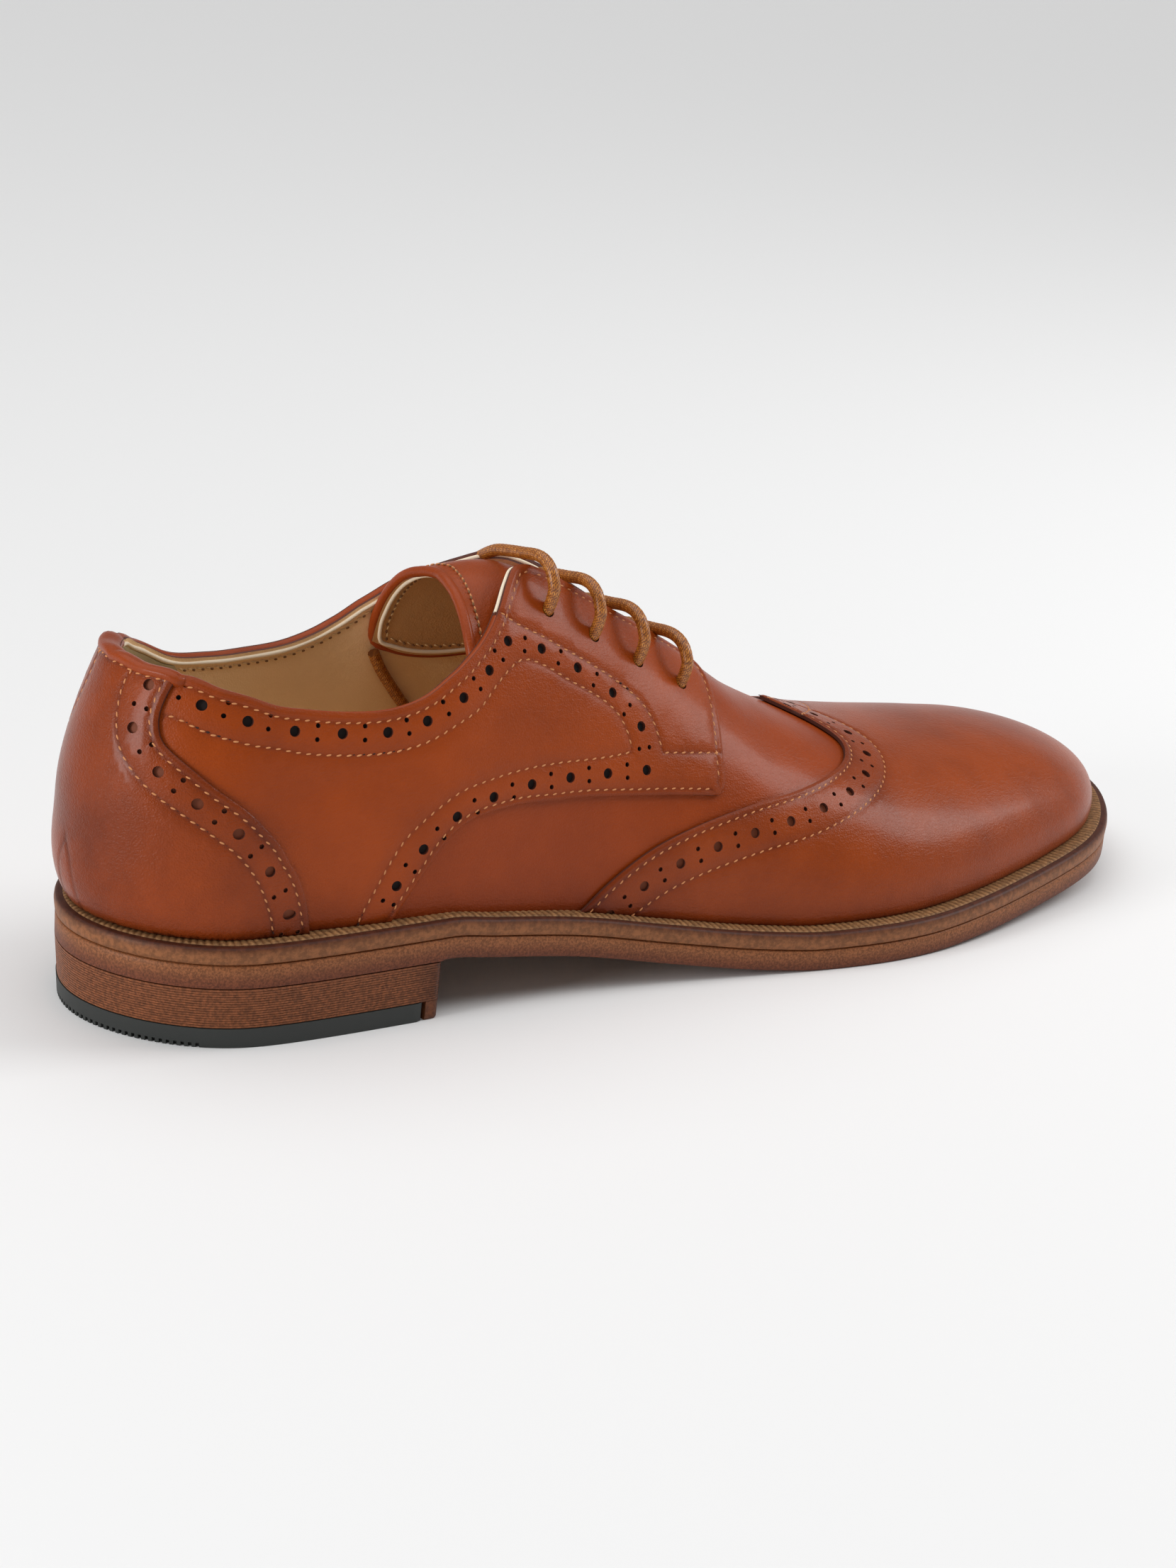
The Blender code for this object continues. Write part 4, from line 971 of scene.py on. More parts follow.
binding_leather = leather("binding_calf", (154, 64, 19), (96, 34, 10), 0.40, 0.3)
cream_edge = plain("pale_raw_edge", (246, 230, 204), 0.8)
lining_thread = plain("lining_thread", (222, 184, 132), 0.8)


def outward(made):
    """Turn all faces of a closed mesh outwards."""
    turned = bmesh.new()
    turned.from_mesh(made.data)
    bmesh.ops.recalc_face_normals(turned, faces=turned.faces)
    turned.to_mesh(made.data)
    turned.free()


def sweep(name, centres, firsts, seconds, sections, finish, closed=False):
    """A body drawn along centres. sections gives every ring's outline along the two directions."""
    rings = len(centres)
    sections = np.broadcast_to(sections, (rings,) + np.shape(sections)[-2:])
    sides = sections.shape[1]
    points = centres[:, None] + firsts[:, None] * sections[..., :1] + seconds[:, None] * sections[..., 1:]
    faces = []
    for ring in range(rings if closed else rings - 1):
        low = ring * sides
        high = (ring + 1) % rings * sides
        faces += [(low + i, low + (i + 1) % sides, high + (i + 1) % sides, high + i) for i in range(sides)]
    if not closed:
        faces += [tuple(range(sides))[::-1], tuple(range((rings - 1) * sides, rings * sides))]
    made = thing(name, points.reshape(-1, 3), faces, [finish])
    outward(made)
    made.data.set_sharp_from_angle(angle=SHARP_EDGE)
    return made


def directions(skin, skin_above):
    """Along, out of and across a line on the last."""
    along = unit(np.gradient(skin, axis=0))
    out = skin_above - skin
    out = unit(out - along * (out * along).sum(1, keepdims=True))
    return along, out, np.cross(out, along)


def circle(radius, sides=16):
    """A round section."""
    turn = np.arange(sides) * 2 * np.pi / sides
    return np.stack([np.cos(turn), np.sin(turn)], -1) * radius


topline = np.vstack([collar["outer"][::-1][:-1], back_half["outer"][::-1][:-1], back_half["inner"][:-1],
                     collar["inner"]])
shares = np.abs(chart_rib(topline)[0])
topline = topline[shares < BINDING_END]
shares = np.abs(chart_rib(topline)[0])
over_counter = np.clip((COLLAR_BACK[0][0] + 0.004 - shares) / 0.006, 0, 1)
middle = beside(topline, BINDING_IN)
lift = BINDING_LIFT + COUNTER_RISE * over_counter
centres = on_last(middle, lift)
along, out, across = directions(centres, on_last(middle, lift + 0.001))
thick = BINDING + over_counter[:, None] * COUNTER_SWELL
rounds = circle(1.0) * thick[:, None]
sweep("collar_binding", centres, out, across, rounds, binding_leather)

inner_line = beside(topline, RAW_EDGE_IN)
centres = on_last(inner_line, -UPPER_WALL - RAW_EDGE_OUT)
along, out, across = directions(centres, on_last(inner_line, 0))
wander = 1 + 0.22 * np.sin(np.arange(len(centres)) * 0.35) * np.sin(np.arange(len(centres)) * 0.13)
sweep("binding_raw_edge", centres, out, across, circle(RAW_EDGE, 8) * wander[:, None, None], cream_edge)
inside_seam = beside(topline, LINING_SEAM_IN)
stitches("lining_thread", [inside_seam], -UPPER_WALL - LINING_THREAD_OUT, lining_thread)
for word, side, *_ in SIDES:
    shares = np.abs(chart_rib(collar[word])[0])
    edge_line = np.vstack([collar[word][shares >= BINDING_END][:-1], facing[word][:-8]])
    edge_line = beside(edge_line, side * EYESTAY_EDGE_IN)
    centres = on_last(edge_line, -EYESTAY_EDGE_SINK)
    along, out, across = directions(centres, on_last(edge_line, 0.001))
    sweep(f"eyestay_raw_edge_{word}", centres, out, across, circle(EYESTAY_EDGE, 8), cream_edge)


# The heel's lining: a patch of olive suede round the back, inside, that keeps the heel from slipping.
# It reaches from just under the collar's raw edge nearly down to the insole.

SUEDE_EDGE = ((0.222, 0.420), (0.225, 0.360), (0.228, 0.290), (0.224, 0.160), (0.210, 0.060))
SUEDE_STEP = 0.002
SUEDE_TOP_IN = 0.0020    # from the collar's edge to the patch
SUEDE_OUT = 0.0006       # how far it stands out of the lining
SUEDE_ROOT = 0.0001      # how far it reaches into it

suede = plain("olive_suede", (176, 158, 118), 0.95)
patch_sides = both_sides(SUEDE_EDGE, SUEDE_STEP)
top_rows = beside(topline, SUEDE_TOP_IN)
top_rows = top_rows[np.abs(chart_rib(top_rows)[0]) < SUEDE_EDGE[0][0] - 0.004]
foot_around, foot_up = SUEDE_EDGE[-1]
foot_rows = chart_place(np.linspace(foot_around, -foot_around, 60), foot_up)
loop = np.vstack([top_rows, patch_sides["inner"][:-1], foot_rows, patch_sides["outer"][:-1][::-1]])
places, triangles = patch([loop], [], BODY_STEP)
wall("heel_lining_patch", places, triangles, on_last(places, -UPPER_WALL - SUEDE_OUT),
     on_last(places, -UPPER_WALL + SUEDE_ROOT), [suede] * 3)


# The tongue: calf with foam and a tan lining, about 2.2 mm thick, stitched in under the quarters' front.
# Its free end has a folded rim and curls up in the collar, so that its lining shows.

TONGUE_WALL = 0.0022
TONGUE_FLAT = 0.0035     # how much lower its middle lies than the last's ridge
TONGUE_DROOP = 0.008     # how much lower still the free end is
TONGUE_EDGE = 0.45       # up, where its sides lie against the body
TONGUE_FREE = 0.375      # share of the length behind which it is free
TONGUE_FREE_RUN = 0.08   # share of the length over which it droops
RIM_POINTS = 40          # of each side that the rim runs along
RIM_RADIUS = 0.00125
RIM_SEAM_IN = 0.0030
THREAD_OUT = 0.0001      # how far its stitches' middles stand out of the leather
RIM_RISE = 0.0002        # of the rim's middle over the wall's
TONGUE_EDGE_IN = 0.0011  # from the rim's middle to the raw edge inside
TONGUE_EDGE_OUT = 0.00005
TONGUE_STEP = 0.0025


def tongue_skin(places, lift):
    """A place on the tongue's upper skin, moved out of it by lift."""
    behind = np.clip((TONGUE_FREE * LENGTH - places[:, 0]) / (TONGUE_FREE_RUN * LENGTH), 0, 1)
    up = np.clip((chart_rib(places)[1] - TONGUE_EDGE) / (1 - TONGUE_EDGE), 0, 1)
    points = on_last(places, -UPPER_WALL - CLEARANCE + lift)
    points[:, 2] -= (TONGUE_FLAT + TONGUE_DROOP * behind ** 2) * up * up * (3 - 2 * up)
    return points


tongue_leather = leather("tongue_calf", (156, 66, 19), (96, 34, 10), 0.38, 0.3)
# A darker copy of the lining for the tongue's underside: painted shade inside the tongue's curl.
tongue_lining_shaded = leather("tongue_lining_shaded", (196, 148, 98), (158, 114, 70), 0.75, 0.3)
tongue_ends = both_sides(TONGUE_END)
tongue_sides = both_sides(TONGUE_SIDE)
tongue_fronts = both_sides(TONGUE_FRONT)
loop = joined(tongue_ends["outer"][::-1], tongue_sides["outer"], tongue_fronts["outer"],
              tongue_fronts["inner"][::-1], tongue_sides["inner"][::-1], tongue_ends["inner"])
places, triangles = patch([loop], [], TONGUE_STEP)
tongue, used = wall("tongue_leather", places, triangles, tongue_skin(places, -TONGUE_WALL),
                    tongue_skin(places, 0), [tongue_leather, tongue_lining_shaded, raw_edge])
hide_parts("tongue")
rim = np.vstack([tongue_sides["outer"][:RIM_POINTS][::-1][:-1], tongue_ends["outer"][:-1],
                 tongue_ends["inner"][::-1][:-1], tongue_sides["inner"][:RIM_POINTS]])
rim = smooth_line(rim[::4], EDGE_STEP)
centres = tongue_skin(rim, -TONGUE_WALL / 2 + RIM_RISE)
along, out, across = directions(centres, tongue_skin(rim, 0.001))
sweep("tongue_rim", centres, out, across, circle(RIM_RADIUS), binding_leather)
line = beside(rim, -TONGUE_EDGE_IN)
centres = tongue_skin(line, -TONGUE_WALL - TONGUE_EDGE_OUT)
along, out, across = directions(centres, tongue_skin(line, 0.001))
sweep("tongue_raw_edge", centres, out, across, circle(RAW_EDGE, 8), cream_edge)
rim_seam = beside(rim, -RIM_SEAM_IN)
stitches("tongue_lining_thread", [rim_seam], -TONGUE_WALL - THREAD_OUT, lining_thread, tongue_skin)
stitches("tongue_thread", [rim_seam], THREAD_OUT, thread, tongue_skin)


# The insole: board with a tan leather sock over it, laid inside the upper's foot.
# It covers the whole bottom of the shoe, from the heel to the toe.

INSOLE = 0.0035          # board and sock over the seat line
SOLE_STEP = 0.003


def seat_place(flat, height):
    """Points of a plan at a height over the seat line."""
    return np.column_stack([flat, seat(flat[:, 0]) + height]) - SHIFT


def edge_ring(inset, shares):
    """The sole's edge moved in towards the hubs."""
    edge = outline(shares)
    hub_x, hub_y = hub(shares, edge[:, 0])
    inward = unit(np.stack([hub_x, hub_y], -1) - edge)
    return edge + inward * np.asarray(inset)[..., None]


def edge_shares(step):
    """Shares of the half perimeter an even way apart along the sole's edge."""
    shares = np.linspace(-1, 1, 4001)
    way = way_along(outline(shares))
    return np.interp(np.linspace(0, way[-1], round(way[-1] / step) + 1), way, shares)


shares = edge_shares(SOLE_STEP)[:-1]
reach = np.linalg.norm(outline(shares) - last_point(shares, 0)[:, :2], axis=1)
foot = edge_ring(reach + UPPER_WALL + CLEARANCE, shares)
places, triangles = patch([foot], [], 2 * SOLE_STEP)
insole, used = wall("insole_sock", places, triangles, seat_place(places, CLEARANCE),
                    seat_place(places, INSOLE), [lining] * 3)
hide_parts("insole")


# The welt: a strip of leather round the whole sole, stitched to the upper and the outsole. The ledge that
# shows round the upper is wheeled into slanted pale ribs, painted darker between them as shade. Its side is
# waxed, its top painted dark as shade.

LEDGE_MIDDLE = 0.0041    # in from the sole's edge
LEDGE_HALF = 0.0023
LEDGE_HEIGHT = 0.0004
RIB_PITCH = 0.0017
RIB_RELIEF = 0.0002
RIB_SLANT = 420.0        # radians of rib for each metre across the ledge
RIB_STEP = 0.0003
WELT_SEAT = 0.012        # how far the welt reaches in under the upper's foot


def edge_leather(name, low_colour, high_colour, speckle, speckle_scale, roughness):
    """Waxed cut leather: from one colour to another by the piece's share, with darker fibres."""
    finish, tree, shader = finish_tree(name)
    place = node(tree, "TexCoord", "Object", {})
    fibres = node(tree, "TexNoise", "Fac",
                  {"Scale": speckle_scale, "Detail": 6, "Roughness": 0.7, "Vector": place})
    spread = node(tree, "MapRange", "Result", {"From Min": 0.42, "From Max": 0.60, "Value": fibres})
    rise = node(tree, "Attribute", "Fac", {}, attribute_name="rise")
    stains = {"A": screen_colour(low_colour), "B": screen_colour(high_colour), "Factor": rise}
    base = node(tree, "Mix", "Result", stains, data_type="RGBA")
    mixed = node(tree, "Mix", "Result", {"Factor": speckle, "A": base, "B": spread},
                 data_type="RGBA", blend_type="MULTIPLY")
    bump = node(tree, "Bump", "Normal", {"Strength": 0.4, "Distance": 0.0001, "Height": fibres})
    fill(tree, shader, {"Base Color": mixed, "Normal": bump, "Roughness": roughness,
                        "Specular IOR Level": 0.25})
    return finish


def edge_band(name, shares, section, finish, rise):
    """A ring round the sole. section gives out and height over the seat line at each share."""
    line = outline(shares)
    ahead = unit(np.gradient(np.vstack([line[-2:-1], line, line[1:2]]), axis=0)[1:-1])
    out = np.column_stack([-ahead[:, 1], ahead[:, 0], np.zeros(len(line))])
    centres = seat_place(line, 0)
    level = np.tile([0.0, 0.0, 1.0], (len(line), 1))
    section = np.broadcast_to(section, (len(line),) + section.shape[-2:])
    made = sweep(name, centres[:-1], out[:-1], level[:-1], section[:-1], finish, closed=True)
    share(made, "rise", np.broadcast_to(rise, section.shape[:2])[:-1].ravel())
    return made


welt_side = edge_leather("welt_side", (154, 98, 60), (84, 42, 26), 0.4, 700, 0.5)
rib_finish = edge_leather("ledge_ribs", (116, 76, 44), (166, 122, 80), 0.45, 900, 0.6)
shares = edge_shares(EDGE_STEP)
underside = -WELT + CLEARANCE
section = np.array([(-WELT_SEAT, underside), (-0.0004, underside), (-0.0001, underside + 0.0003),
                    (0.0, underside + 0.0012), (0.0001, -0.0018), (0.0, -0.0009), (-0.0003, -0.0003),
                    (-0.0008, -0.0001), (-WELT_SEAT, 0.0)])
# Share towards the dark colour along the section: painted shade at the top of the welt's side.
rise = np.array([0.0, 0.0, 0.1, 0.0, 0.15, 0.55, 1.0, 1.0, 1.0])
welt = edge_band("welt_strip", shares, section, welt_side, rise)
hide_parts("welt")
shares = edge_shares(RIB_STEP)
turn = np.arange(16) * 2 * np.pi / 16
out = np.sign(np.cos(turn)) * np.abs(np.cos(turn)) ** 0.6 * LEDGE_HALF - LEDGE_MIDDLE
level = np.sign(np.sin(turn)) * np.abs(np.sin(turn)) ** 0.6 * LEDGE_HEIGHT
ribs = round(len(shares) * RIB_STEP / RIB_PITCH)
phase = np.linspace(0, ribs * 2 * np.pi, len(shares))[:, None] + out * RIB_SLANT
relief = (0.5 + 0.5 * np.sin(phase)) ** 0.5
section = np.stack([np.broadcast_to(out, phase.shape), level - RIB_RELIEF * (1 - relief) * (level > 0)], -1)
# The ribs' colour follows their relief: painted shade in the hollows between them.
edge_band("welt_ledge", shares, section, rib_finish, relief)


# The outsole: one sheet of firm leather under the welt. Its cut side is speckled, redder below. The forefoot
# stands flat on the floor, the waist is arched and the toe springs up.

OUTSOLE_INSET = 0.0002
SOLE_RING = 0.006

sole_side = edge_leather("outsole_side", (122, 66, 42), (158, 98, 60), 0.5, 1900, 0.5)
sole_face = edge_leather("outsole_face", (150, 110, 78), (150, 110, 78), 0.25, 300, 0.55)
shares = edge_shares(EDGE_STEP)
line = outline(shares)
sole_low = np.maximum(seat(line[:, 0]) - WELT - OUTSOLE, 0) - seat(line[:, 0])
inset = np.full(len(shares), -OUTSOLE_INSET)
over_heel = line[:, 0] < BREAST * LENGTH
low_inset = np.where(over_heel, 0, 0.0006)
profile = [(inset - SOLE_RING, inset * 0 - WELT), (inset - 0.0003, inset * 0 - WELT),
           (inset, inset * 0 - WELT - 0.0003), (inset, inset * 0 - WELT - 0.0016), (inset, sole_low + 0.0018),
           (inset - low_inset / 6, sole_low + 0.0005), (inset - low_inset, sole_low),
           (inset - SOLE_RING, sole_low)]
section = np.stack([np.stack(pair, -1) for pair in profile], 1)
outsole = edge_band("outsole_edge", shares, section, sole_side, np.array([1, 1, 1, 0.9, 0.25, 0.0, 0.0, 0.0]))
ring = edge_ring(np.full(len(shares), SOLE_RING - 0.0006), shares)[:-1]
places, triangles = patch([ring], [], 2 * SOLE_STEP)
under = np.column_stack([places, np.maximum(seat(places[:, 0]) - WELT - OUTSOLE, 0)]) - SHIFT
sheet, used = wall("outsole_sheet", places, triangles, under, seat_place(places, -WELT), [sole_face] * 3)
share(sheet, "rise", np.ones(len(sheet.data.vertices)))
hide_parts("outsole")


# The heel: thin leather lifts, glued and sanded, so that the side shows fine level lines. In front the lifts
# reach the floor; behind, the lowest ones are cut away for the rubber.

HEEL_NOSE = 0.0038       # length of the lifts that reach the floor in front of the rubber
FRONT_DARK_RUN = 0.009        # how far the colour darkens behind the heel's front
HEEL_TAPER = 0.0009      # how much the block draws in towards the floor
HEEL_CORNER = 0.0016
CORNER_EDGE = math.radians(40)   # the block is shaded smooth over edges less sharp than this
LIFT_PITCH = 0.00058
LIFT_GROOVE = 0.00012
GROOVE_SIDE = 0.0001     # height of a groove's slanted side
FLOOR_BEVEL = 0.0003     # of the nose's lowest edge


def heel_line(inset, front):
    """The heel's plan, from its front's middle round the back to there again, with small round corners."""
    line = edge_ring(np.full(2401, inset), np.linspace(-0.36, 0.36, 2401))
    line = line[line[:, 0] < front - HEEL_CORNER]
    turn = np.linspace(0, np.pi / 2, 6)[1:, None]
    bend = HEEL_CORNER * np.hstack([np.sin(turn), 1 - np.cos(turn)])
    return np.vstack([(line[0] + bend)[::-1], line, line[-1] + bend * (1, -1)])


def at_ways(line, ways):
    """Points of a flat line at shares of its length."""
    way = way_along(line)
    return line_at(line, way, np.asarray(ways) * way[-1])


def stacked(name, loops, heights, finishes, shades=None):
    """A closed body through plan loops, each at its height."""
    count = len(loops[0])
    rings = [np.column_stack([loop, np.full(count, z)]) for loop, z in zip(loops, heights)]
    points = np.vstack(rings) - SHIFT
    faces = [tuple(range(count)), tuple(range(len(points) - count, len(points)))[::-1]]
    for low in range(0, len(points) - count, count):
        faces += [(low + i, low + count + i, low + count + (i + 1) % count, low + (i + 1) % count)
                  for i in range(count)]
    made = thing(name, points, faces, finishes)
    outward(made)
    made.data.set_sharp_from_angle(angle=CORNER_EDGE)
    ahead = points[:, 0] + SHIFT[0]
    lightness = np.clip((BREAST * LENGTH - ahead) / FRONT_DARK_RUN, 0, 1) ** 0.5
    share(made, "rise", lightness * np.repeat(np.ones(len(loops)) if shades is None else shades, count))
    return made


lifts = edge_leather("heel_lifts", (66, 32, 20), (146, 86, 52), 0.5, 1300, 0.45)
stack_top = HEEL_SEAT - WELT - OUTSOLE - CLEARANCE
heel_front = BREAST * LENGTH
lift_count = round((stack_top - RUBBER) / LIFT_PITCH)
ways = np.linspace(0, 1, 300)
heights = []
insets = []
for number in range(lift_count):
    base = RUBBER + (stack_top - RUBBER) * number / lift_count
    heights += [base, base + GROOVE_SIDE, base + LIFT_PITCH - GROOVE_SIDE]
    insets += [LIFT_GROOVE, 0, 0]
heights = np.array(heights + [stack_top])
insets = np.array(insets + [0]) + OUTSOLE_INSET + HEEL_TAPER * (1 - heights / stack_top)
loops = [at_ways(heel_line(inset, heel_front), ways) for inset in insets]
lift_shades = np.append(np.tile([0.25, 1, 1], lift_count), 0.8)
stack = stacked("heel_stack_lifts", loops, heights, [lifts], lift_shades)
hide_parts("heel_stack")

nose_back = heel_front - HEEL_NOSE
loops = []
heights = np.array([0, 0.0005, 0.0015, 0.0030, RUBBER])
for height in heights:
    inset = OUTSOLE_INSET + HEEL_TAPER * (1 - height / stack_top) + FLOOR_BEVEL * (height == 0)
    line = heel_line(inset, heel_front)
    sides = [line[: len(line) // 2], line[len(line) // 2:][::-1]]
    cuts = []
    for run in sides:
        run = run[run[:, 0] > nose_back]
        cuts.append(at_ways(np.vstack([run, (nose_back, run[-1, 1])]), np.linspace(0, 1, 16)))
    loops.append(np.vstack([cuts[0], cuts[1][::-1]]))
stacked("heel_stack_nose", loops, heights, [lifts])


# The top piece: dark rubber nailed under the lifts, with fine notches round the back of its lower edge.
# It ends behind the heel's front, where the lifts reach the floor.

NOTCH_PITCH = 0.00165
NOTCH_WIDTH = 0.0007
NOTCH_HEIGHT = 0.0010
NOTCH_DEPTH = 0.0009
NOTCH_EDGE = 0.00004     # half the run of a notch's side wall
NOTCH_COUNT = 40
NOTCH_SHIFT = 2          # pitches by which the row lies nearer to the outer side

rubber = plain("green_black_rubber", (40, 43, 41), 0.55)
rubber_front = nose_back - CLEARANCE
line = heel_line(HEEL_TAPER, rubber_front)
length = np.linalg.norm(np.diff(line, axis=0), axis=1).sum()
back = int(np.argmin(line[:, 0]))
middle = np.linalg.norm(np.diff(line[:back + 1], axis=0), axis=1).sum()
centres = middle + (np.arange(NOTCH_COUNT) - (NOTCH_COUNT - 1) / 2 - NOTCH_SHIFT) * NOTCH_PITCH
notch_sides = [centres + side * (NOTCH_WIDTH / 2 + edge)
               for side in (-1, 1) for edge in (-NOTCH_EDGE, NOTCH_EDGE)]
ways = np.sort(np.concatenate([np.linspace(0, length, 140)] + notch_sides))
cut = (np.abs(ways[:, None] - centres).min(1) < NOTCH_WIDTH / 2) * NOTCH_DEPTH
loops = []
heights = np.array([0, NOTCH_HEIGHT, NOTCH_HEIGHT + 0.00005, RUBBER - 0.0001])
for height, notched in zip(heights, (1, 1, 0, 0)):
    loop = at_ways(heel_line(HEEL_TAPER * (1 - height / stack_top), rubber_front), ways / length)
    loops.append(loop + unit((HEEL_HUB * LENGTH, 0) - loop) * (cut * notched)[:, None])
top_piece = stacked("heel_top_piece_rubber", loops, heights, [rubber])
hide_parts("heel_top_piece")


# The lace: one round waxed cotton braid, laced in straight bars. Each bar comes up through one facing, arches
# over the throat and goes down through the other. The free end hangs along the inner side's lining.

LACE_RADIUS = 0.00145
LACE_SINK = -0.0022      # of the lace's middle under the last's surface at an eyelet
LACE_STRANDS = 9         # that run each way round the braid
LACE_SIDES = 36
LACE_STEP = 0.00028
BRAID_PITCH = 0.0062     # length of one turn of a strand
BRAID_RELIEF = 0.00008
BAR_RISES = (0.0118, 0.0121, 0.0117, 0.0105)   # of each bar's middle over its eyelets, from the collar on
BAR_BEND = 2 / 3         # power of its arch: 1 is an ellipse, less is squarer
BAR_PEAK = 1.08          # how much the outer half bulges over the model's even arch
BAR_LEAN = 0.95          # how much lower the bar lies towards the inner side
LACE_REST = 0.0015       # from the lace's middle to what it lies on
BAR_LIFT = FIRST_TOP + CLEARANCE + LACE_REST
LACE_END = ((0.344, 0.430), (0.350, 0.395), (0.360, 0.350), (0.372, 0.300), (0.386, 0.240), (0.398, 0.170),
            (0.405, 0.100))
UNDER_RUN = ((0.398, 0.706), (0.407, 0.708), (0.416, 0.703))


def lace_finish():
    """Waxed mustard braid, with painted shade between the strands and painted highlights in spots on their
    tops.
    """
    finish, tree, shader = finish_tree("waxed_lace")
    place = node(tree, "TexCoord", "Object", {})
    highlight_spots = node(tree, "TexNoise", "Fac", {"Scale": 1300, "Detail": 4, "Vector": place})
    weave_shade_and_highlight = node(tree, "Attribute", "Fac", {}, attribute_name="weave_shade_and_highlight")
    both = node(tree, "Math", "Value", {0: highlight_spots, 1: weave_shade_and_highlight}, operation="MULTIPLY")
    ramp = tree.nodes.new("ShaderNodeValToRGB")
    stops = ((0.10, (100, 50, 12)), (0.35, (176, 102, 28)), (0.62, (222, 160, 80)))
    ramp.color_ramp.elements.new(0.5)
    for element, (position, colour) in zip(ramp.color_ramp.elements, stops):
        element.position = position
        element.color = screen_colour(colour)
    fill(tree, ramp, {"Fac": both})
    fill(tree, shader, {"Base Color": ramp.outputs["Color"], "Roughness": 0.42, "Coat Weight": 0.2,
                        "Coat Roughness": 0.25})
    return finish


def braid(name, route, level):
    """A round braid along a route. level is a direction that the route never follows."""
    centres = smooth_line(route, LACE_STEP)
    along = unit(np.gradient(centres, axis=0))
    first = unit(np.asarray(level) - along * (along @ level)[:, None])
    turn = np.arange(LACE_SIDES) * 2 * np.pi / LACE_SIDES
    twist = np.arange(len(centres))[:, None] * LACE_STEP * 2 * np.pi / BRAID_PITCH
    strands = np.maximum(np.sin(LACE_STRANDS * (turn + twist)), np.sin(LACE_STRANDS * (turn - twist)))
    relief = np.clip(strands, -0.4, 1)
    radius = LACE_RADIUS - BRAID_RELIEF * (1 - relief)
    sections = np.stack([np.cos(turn) * radius, np.sin(turn) * radius], -1)
    made = sweep(name, centres, first, np.cross(along, first), sections, waxed)
    # The braid's colour follows its relief: painted shade between the strands.
    share(made, "weave_shade_and_highlight", ((relief + 0.4) / 1.4).ravel())
    return made, centres


waxed = lace_finish()
turn = np.linspace(0, np.pi, 19)[:, None]
across = np.sign(np.cos(turn)) * np.abs(np.cos(turn)) ** BAR_BEND
for number, ((around, up), rise) in enumerate(zip(EYELETS, BAR_RISES), 1):
    places = [chart_place(side * around, up) for side in (-1, 1)]
    outer, inner = (on_last(place, BAR_LIFT) for place in places)
    height = rise * BAR_PEAK * np.sin(turn) ** BAR_BEND * (1 - BAR_LEAN * ((1 - np.cos(turn)) / 2) ** 1.5)
    arch = (outer + inner) / 2 + (outer - inner) / 2 * across + height * np.array([0, 0, 1])
    start = [on_last(places[0], lift) for lift in (LACE_SINK, -0.0008, 0.0010)]
    finish = [on_last(places[1], lift) for lift in (0.0010, -0.0008, LACE_SINK)]
    bar, route = braid(f"lace_bar_{number}_braid", np.vstack([start, arch[1:-1], finish]), (1.0, 0.0, 0.0))
    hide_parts(f"lace_bar_{number}")
first, second = (chart_place(*EYELETS[number]) for number in (0, 1))
under = on_last(np.array([chart_place(*row) for row in UNDER_RUN]), -0.0030)
route = np.vstack([on_last(first, LACE_SINK), under, on_last(second, LACE_SINK)])
braid("lace_under_run", route, (0.0, 1.0, 0.0))
hang = on_last(np.array([chart_place(*row) for row in LACE_END]), -(UPPER_WALL + CLEARANCE + LACE_REST))
end, route = braid("lace_end_braid", hang, (0.0, 1.0, 0.0))
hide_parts("lace_end")
length = float(np.linalg.norm(np.diff(route, axis=0), axis=1).sum())


# The floor: plain pale paper that the shoe stands on.
bpy.ops.object.select_all(action="DESELECT")
bpy.ops.mesh.primitive_plane_add(size=60, location=(0, 0, -0.00002))
floor = bpy.context.object
floor.name = "floor"
floor.data.materials.append(plain("pale_paper", (240, 240, 240), 0.9))

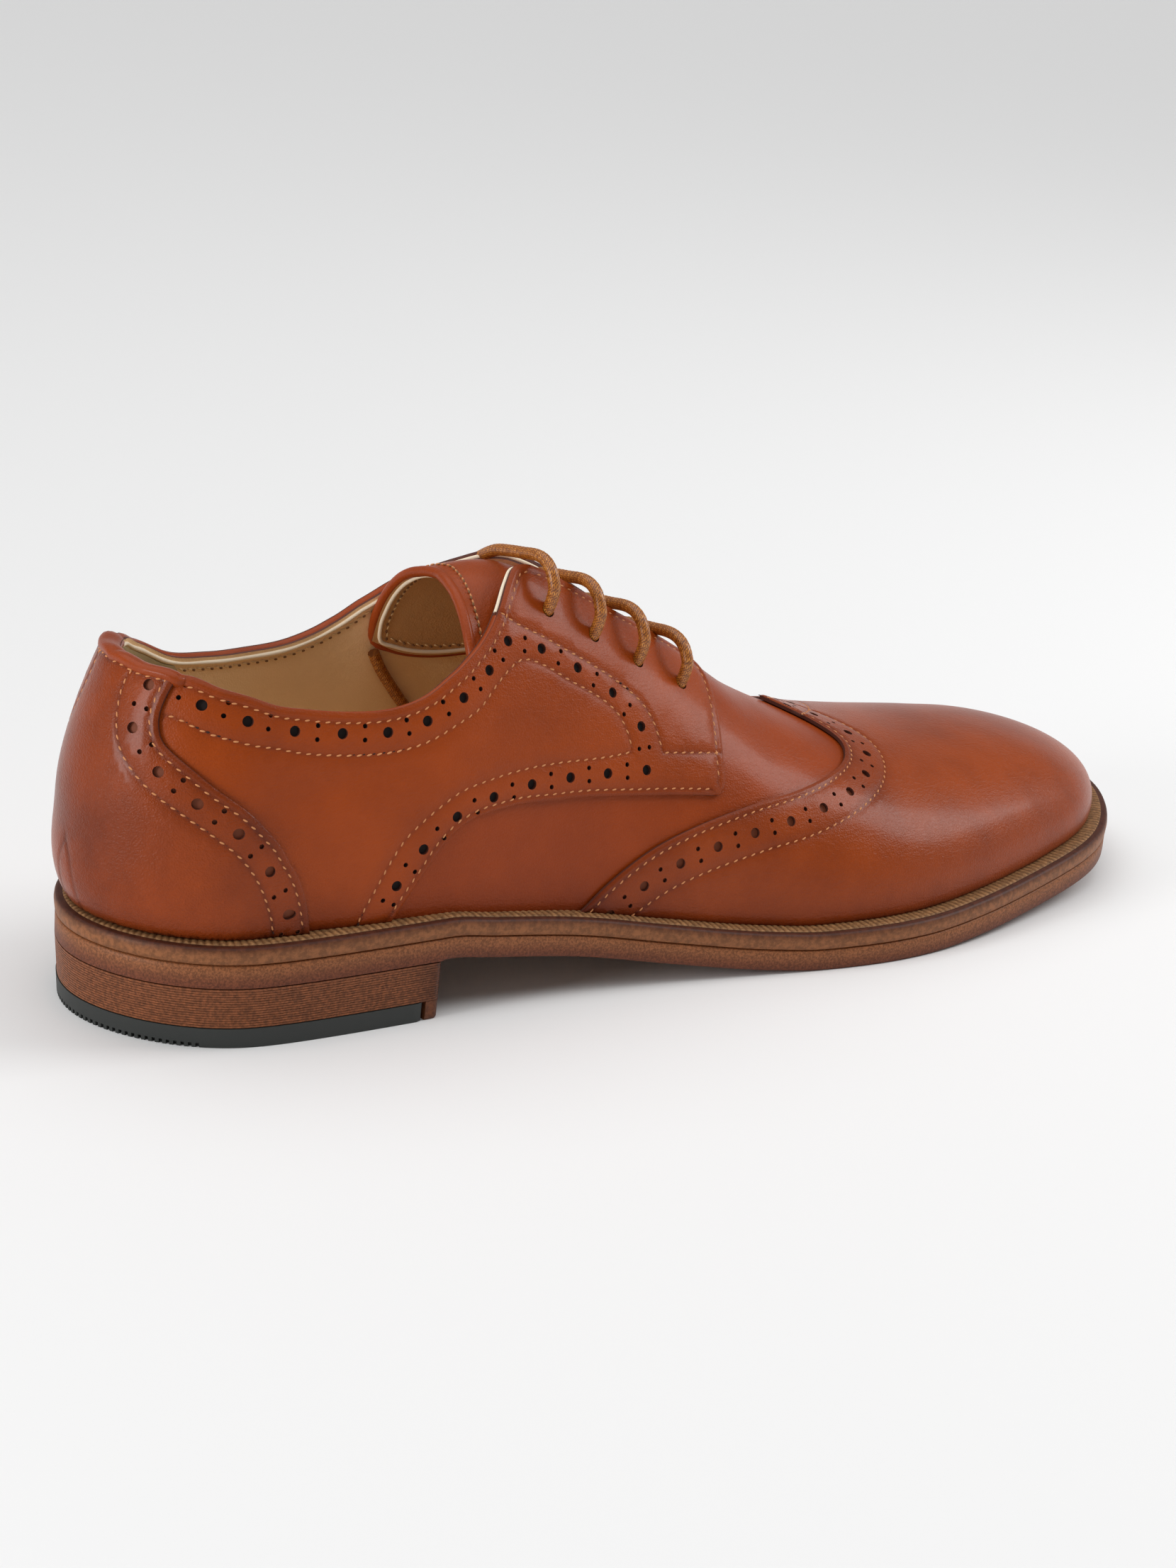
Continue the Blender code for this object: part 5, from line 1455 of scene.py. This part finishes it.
# Light: one very broad soft source overhead, small soft boxes behind the heel and before the toe, and a room
# that is pale near the floor and darker above.
sun = bpy.data.lights.new("overhead", "SUN")
sun.energy = 1.82
sun.angle = math.radians(85)
light = bpy.data.objects.new("overhead", sun)
light.rotation_euler = Vector((0.12, -0.12, -1)).to_track_quat("-Z", "Y").to_euler()
bpy.context.collection.objects.link(light)
BOXES = (("heel_box", (-1.2, -0.07, 0.34), 0.3, 5.0), ("front_box", (0.95, -0.35, 0.75), 0.5, 6.0))
for name, place, size, power in BOXES:
    lamp = bpy.data.lights.new(name, "AREA")
    lamp.size = size
    lamp.energy = power
    light = bpy.data.objects.new(name, lamp)
    light.location = place
    light.rotation_euler = (-Vector(place)).to_track_quat("-Z", "Y").to_euler()
    light.visible_camera = False
    bpy.context.collection.objects.link(light)
room = bpy.data.worlds.new("pale_room")
room.use_nodes = True
tree = room.node_tree
way = node(tree, "TexCoord", "Generated", {})
height = node(tree, "SeparateXYZ", "Z", {"Vector": way})
fade = tree.nodes.new("ShaderNodeValToRGB")
fade.color_ramp.elements[0].position = 0.02
fade.color_ramp.elements[0].color = (0.74, 0.74, 0.74, 1)
fade.color_ramp.elements[1].position = 0.30
fade.color_ramp.elements[1].color = (0.17, 0.17, 0.17, 1)
fill(tree, fade, {"Fac": height})
fill(tree, tree.nodes["Background"], {"Color": fade.outputs["Color"]})
bpy.context.scene.world = room
bpy.context.scene.view_settings.view_transform = "Standard"

# The camera stands behind the shoe's outer side, where the photograph was taken. It is turned a little
# and its lens is wider, so that the whole shoe is in the picture.
CAMERA_TURN = math.radians(34.857)
CAMERA_TILT = math.radians(19.011)
CAMERA_ROLL = math.radians(-4.370)
CAMERA_PLACE = (-0.422989, -0.585538, 0.281969)
SENSOR = 36
PHOTO_FOCAL = 5199.85    # in the photograph's pixels
PHOTO_HEIGHT = 2212
WIDER = 0.845
LENS = PHOTO_FOCAL / PHOTO_HEIGHT * SENSOR * WIDER
right = Vector((math.cos(CAMERA_TURN), -math.sin(CAMERA_TURN), 0))
level = Vector((math.sin(CAMERA_TURN), math.cos(CAMERA_TURN), 0))
ahead = level * math.cos(CAMERA_TILT) - Vector((0, 0, math.sin(CAMERA_TILT)))
upward = right.cross(ahead)
turned = right * math.cos(CAMERA_ROLL) - upward * math.sin(CAMERA_ROLL)
raised = right * math.sin(CAMERA_ROLL) + upward * math.cos(CAMERA_ROLL)
view = bpy.data.cameras.new("photo_camera")
view.sensor_fit = "VERTICAL"
view.sensor_height = SENSOR
view.lens = LENS
camera = bpy.data.objects.new("photo_camera", view)
facing_ways = Matrix((turned, raised, -ahead)).transposed().to_4x4()
camera.matrix_world = Matrix.Translation(CAMERA_PLACE) @ facing_ways
bpy.context.collection.objects.link(camera)
bpy.context.scene.camera = camera
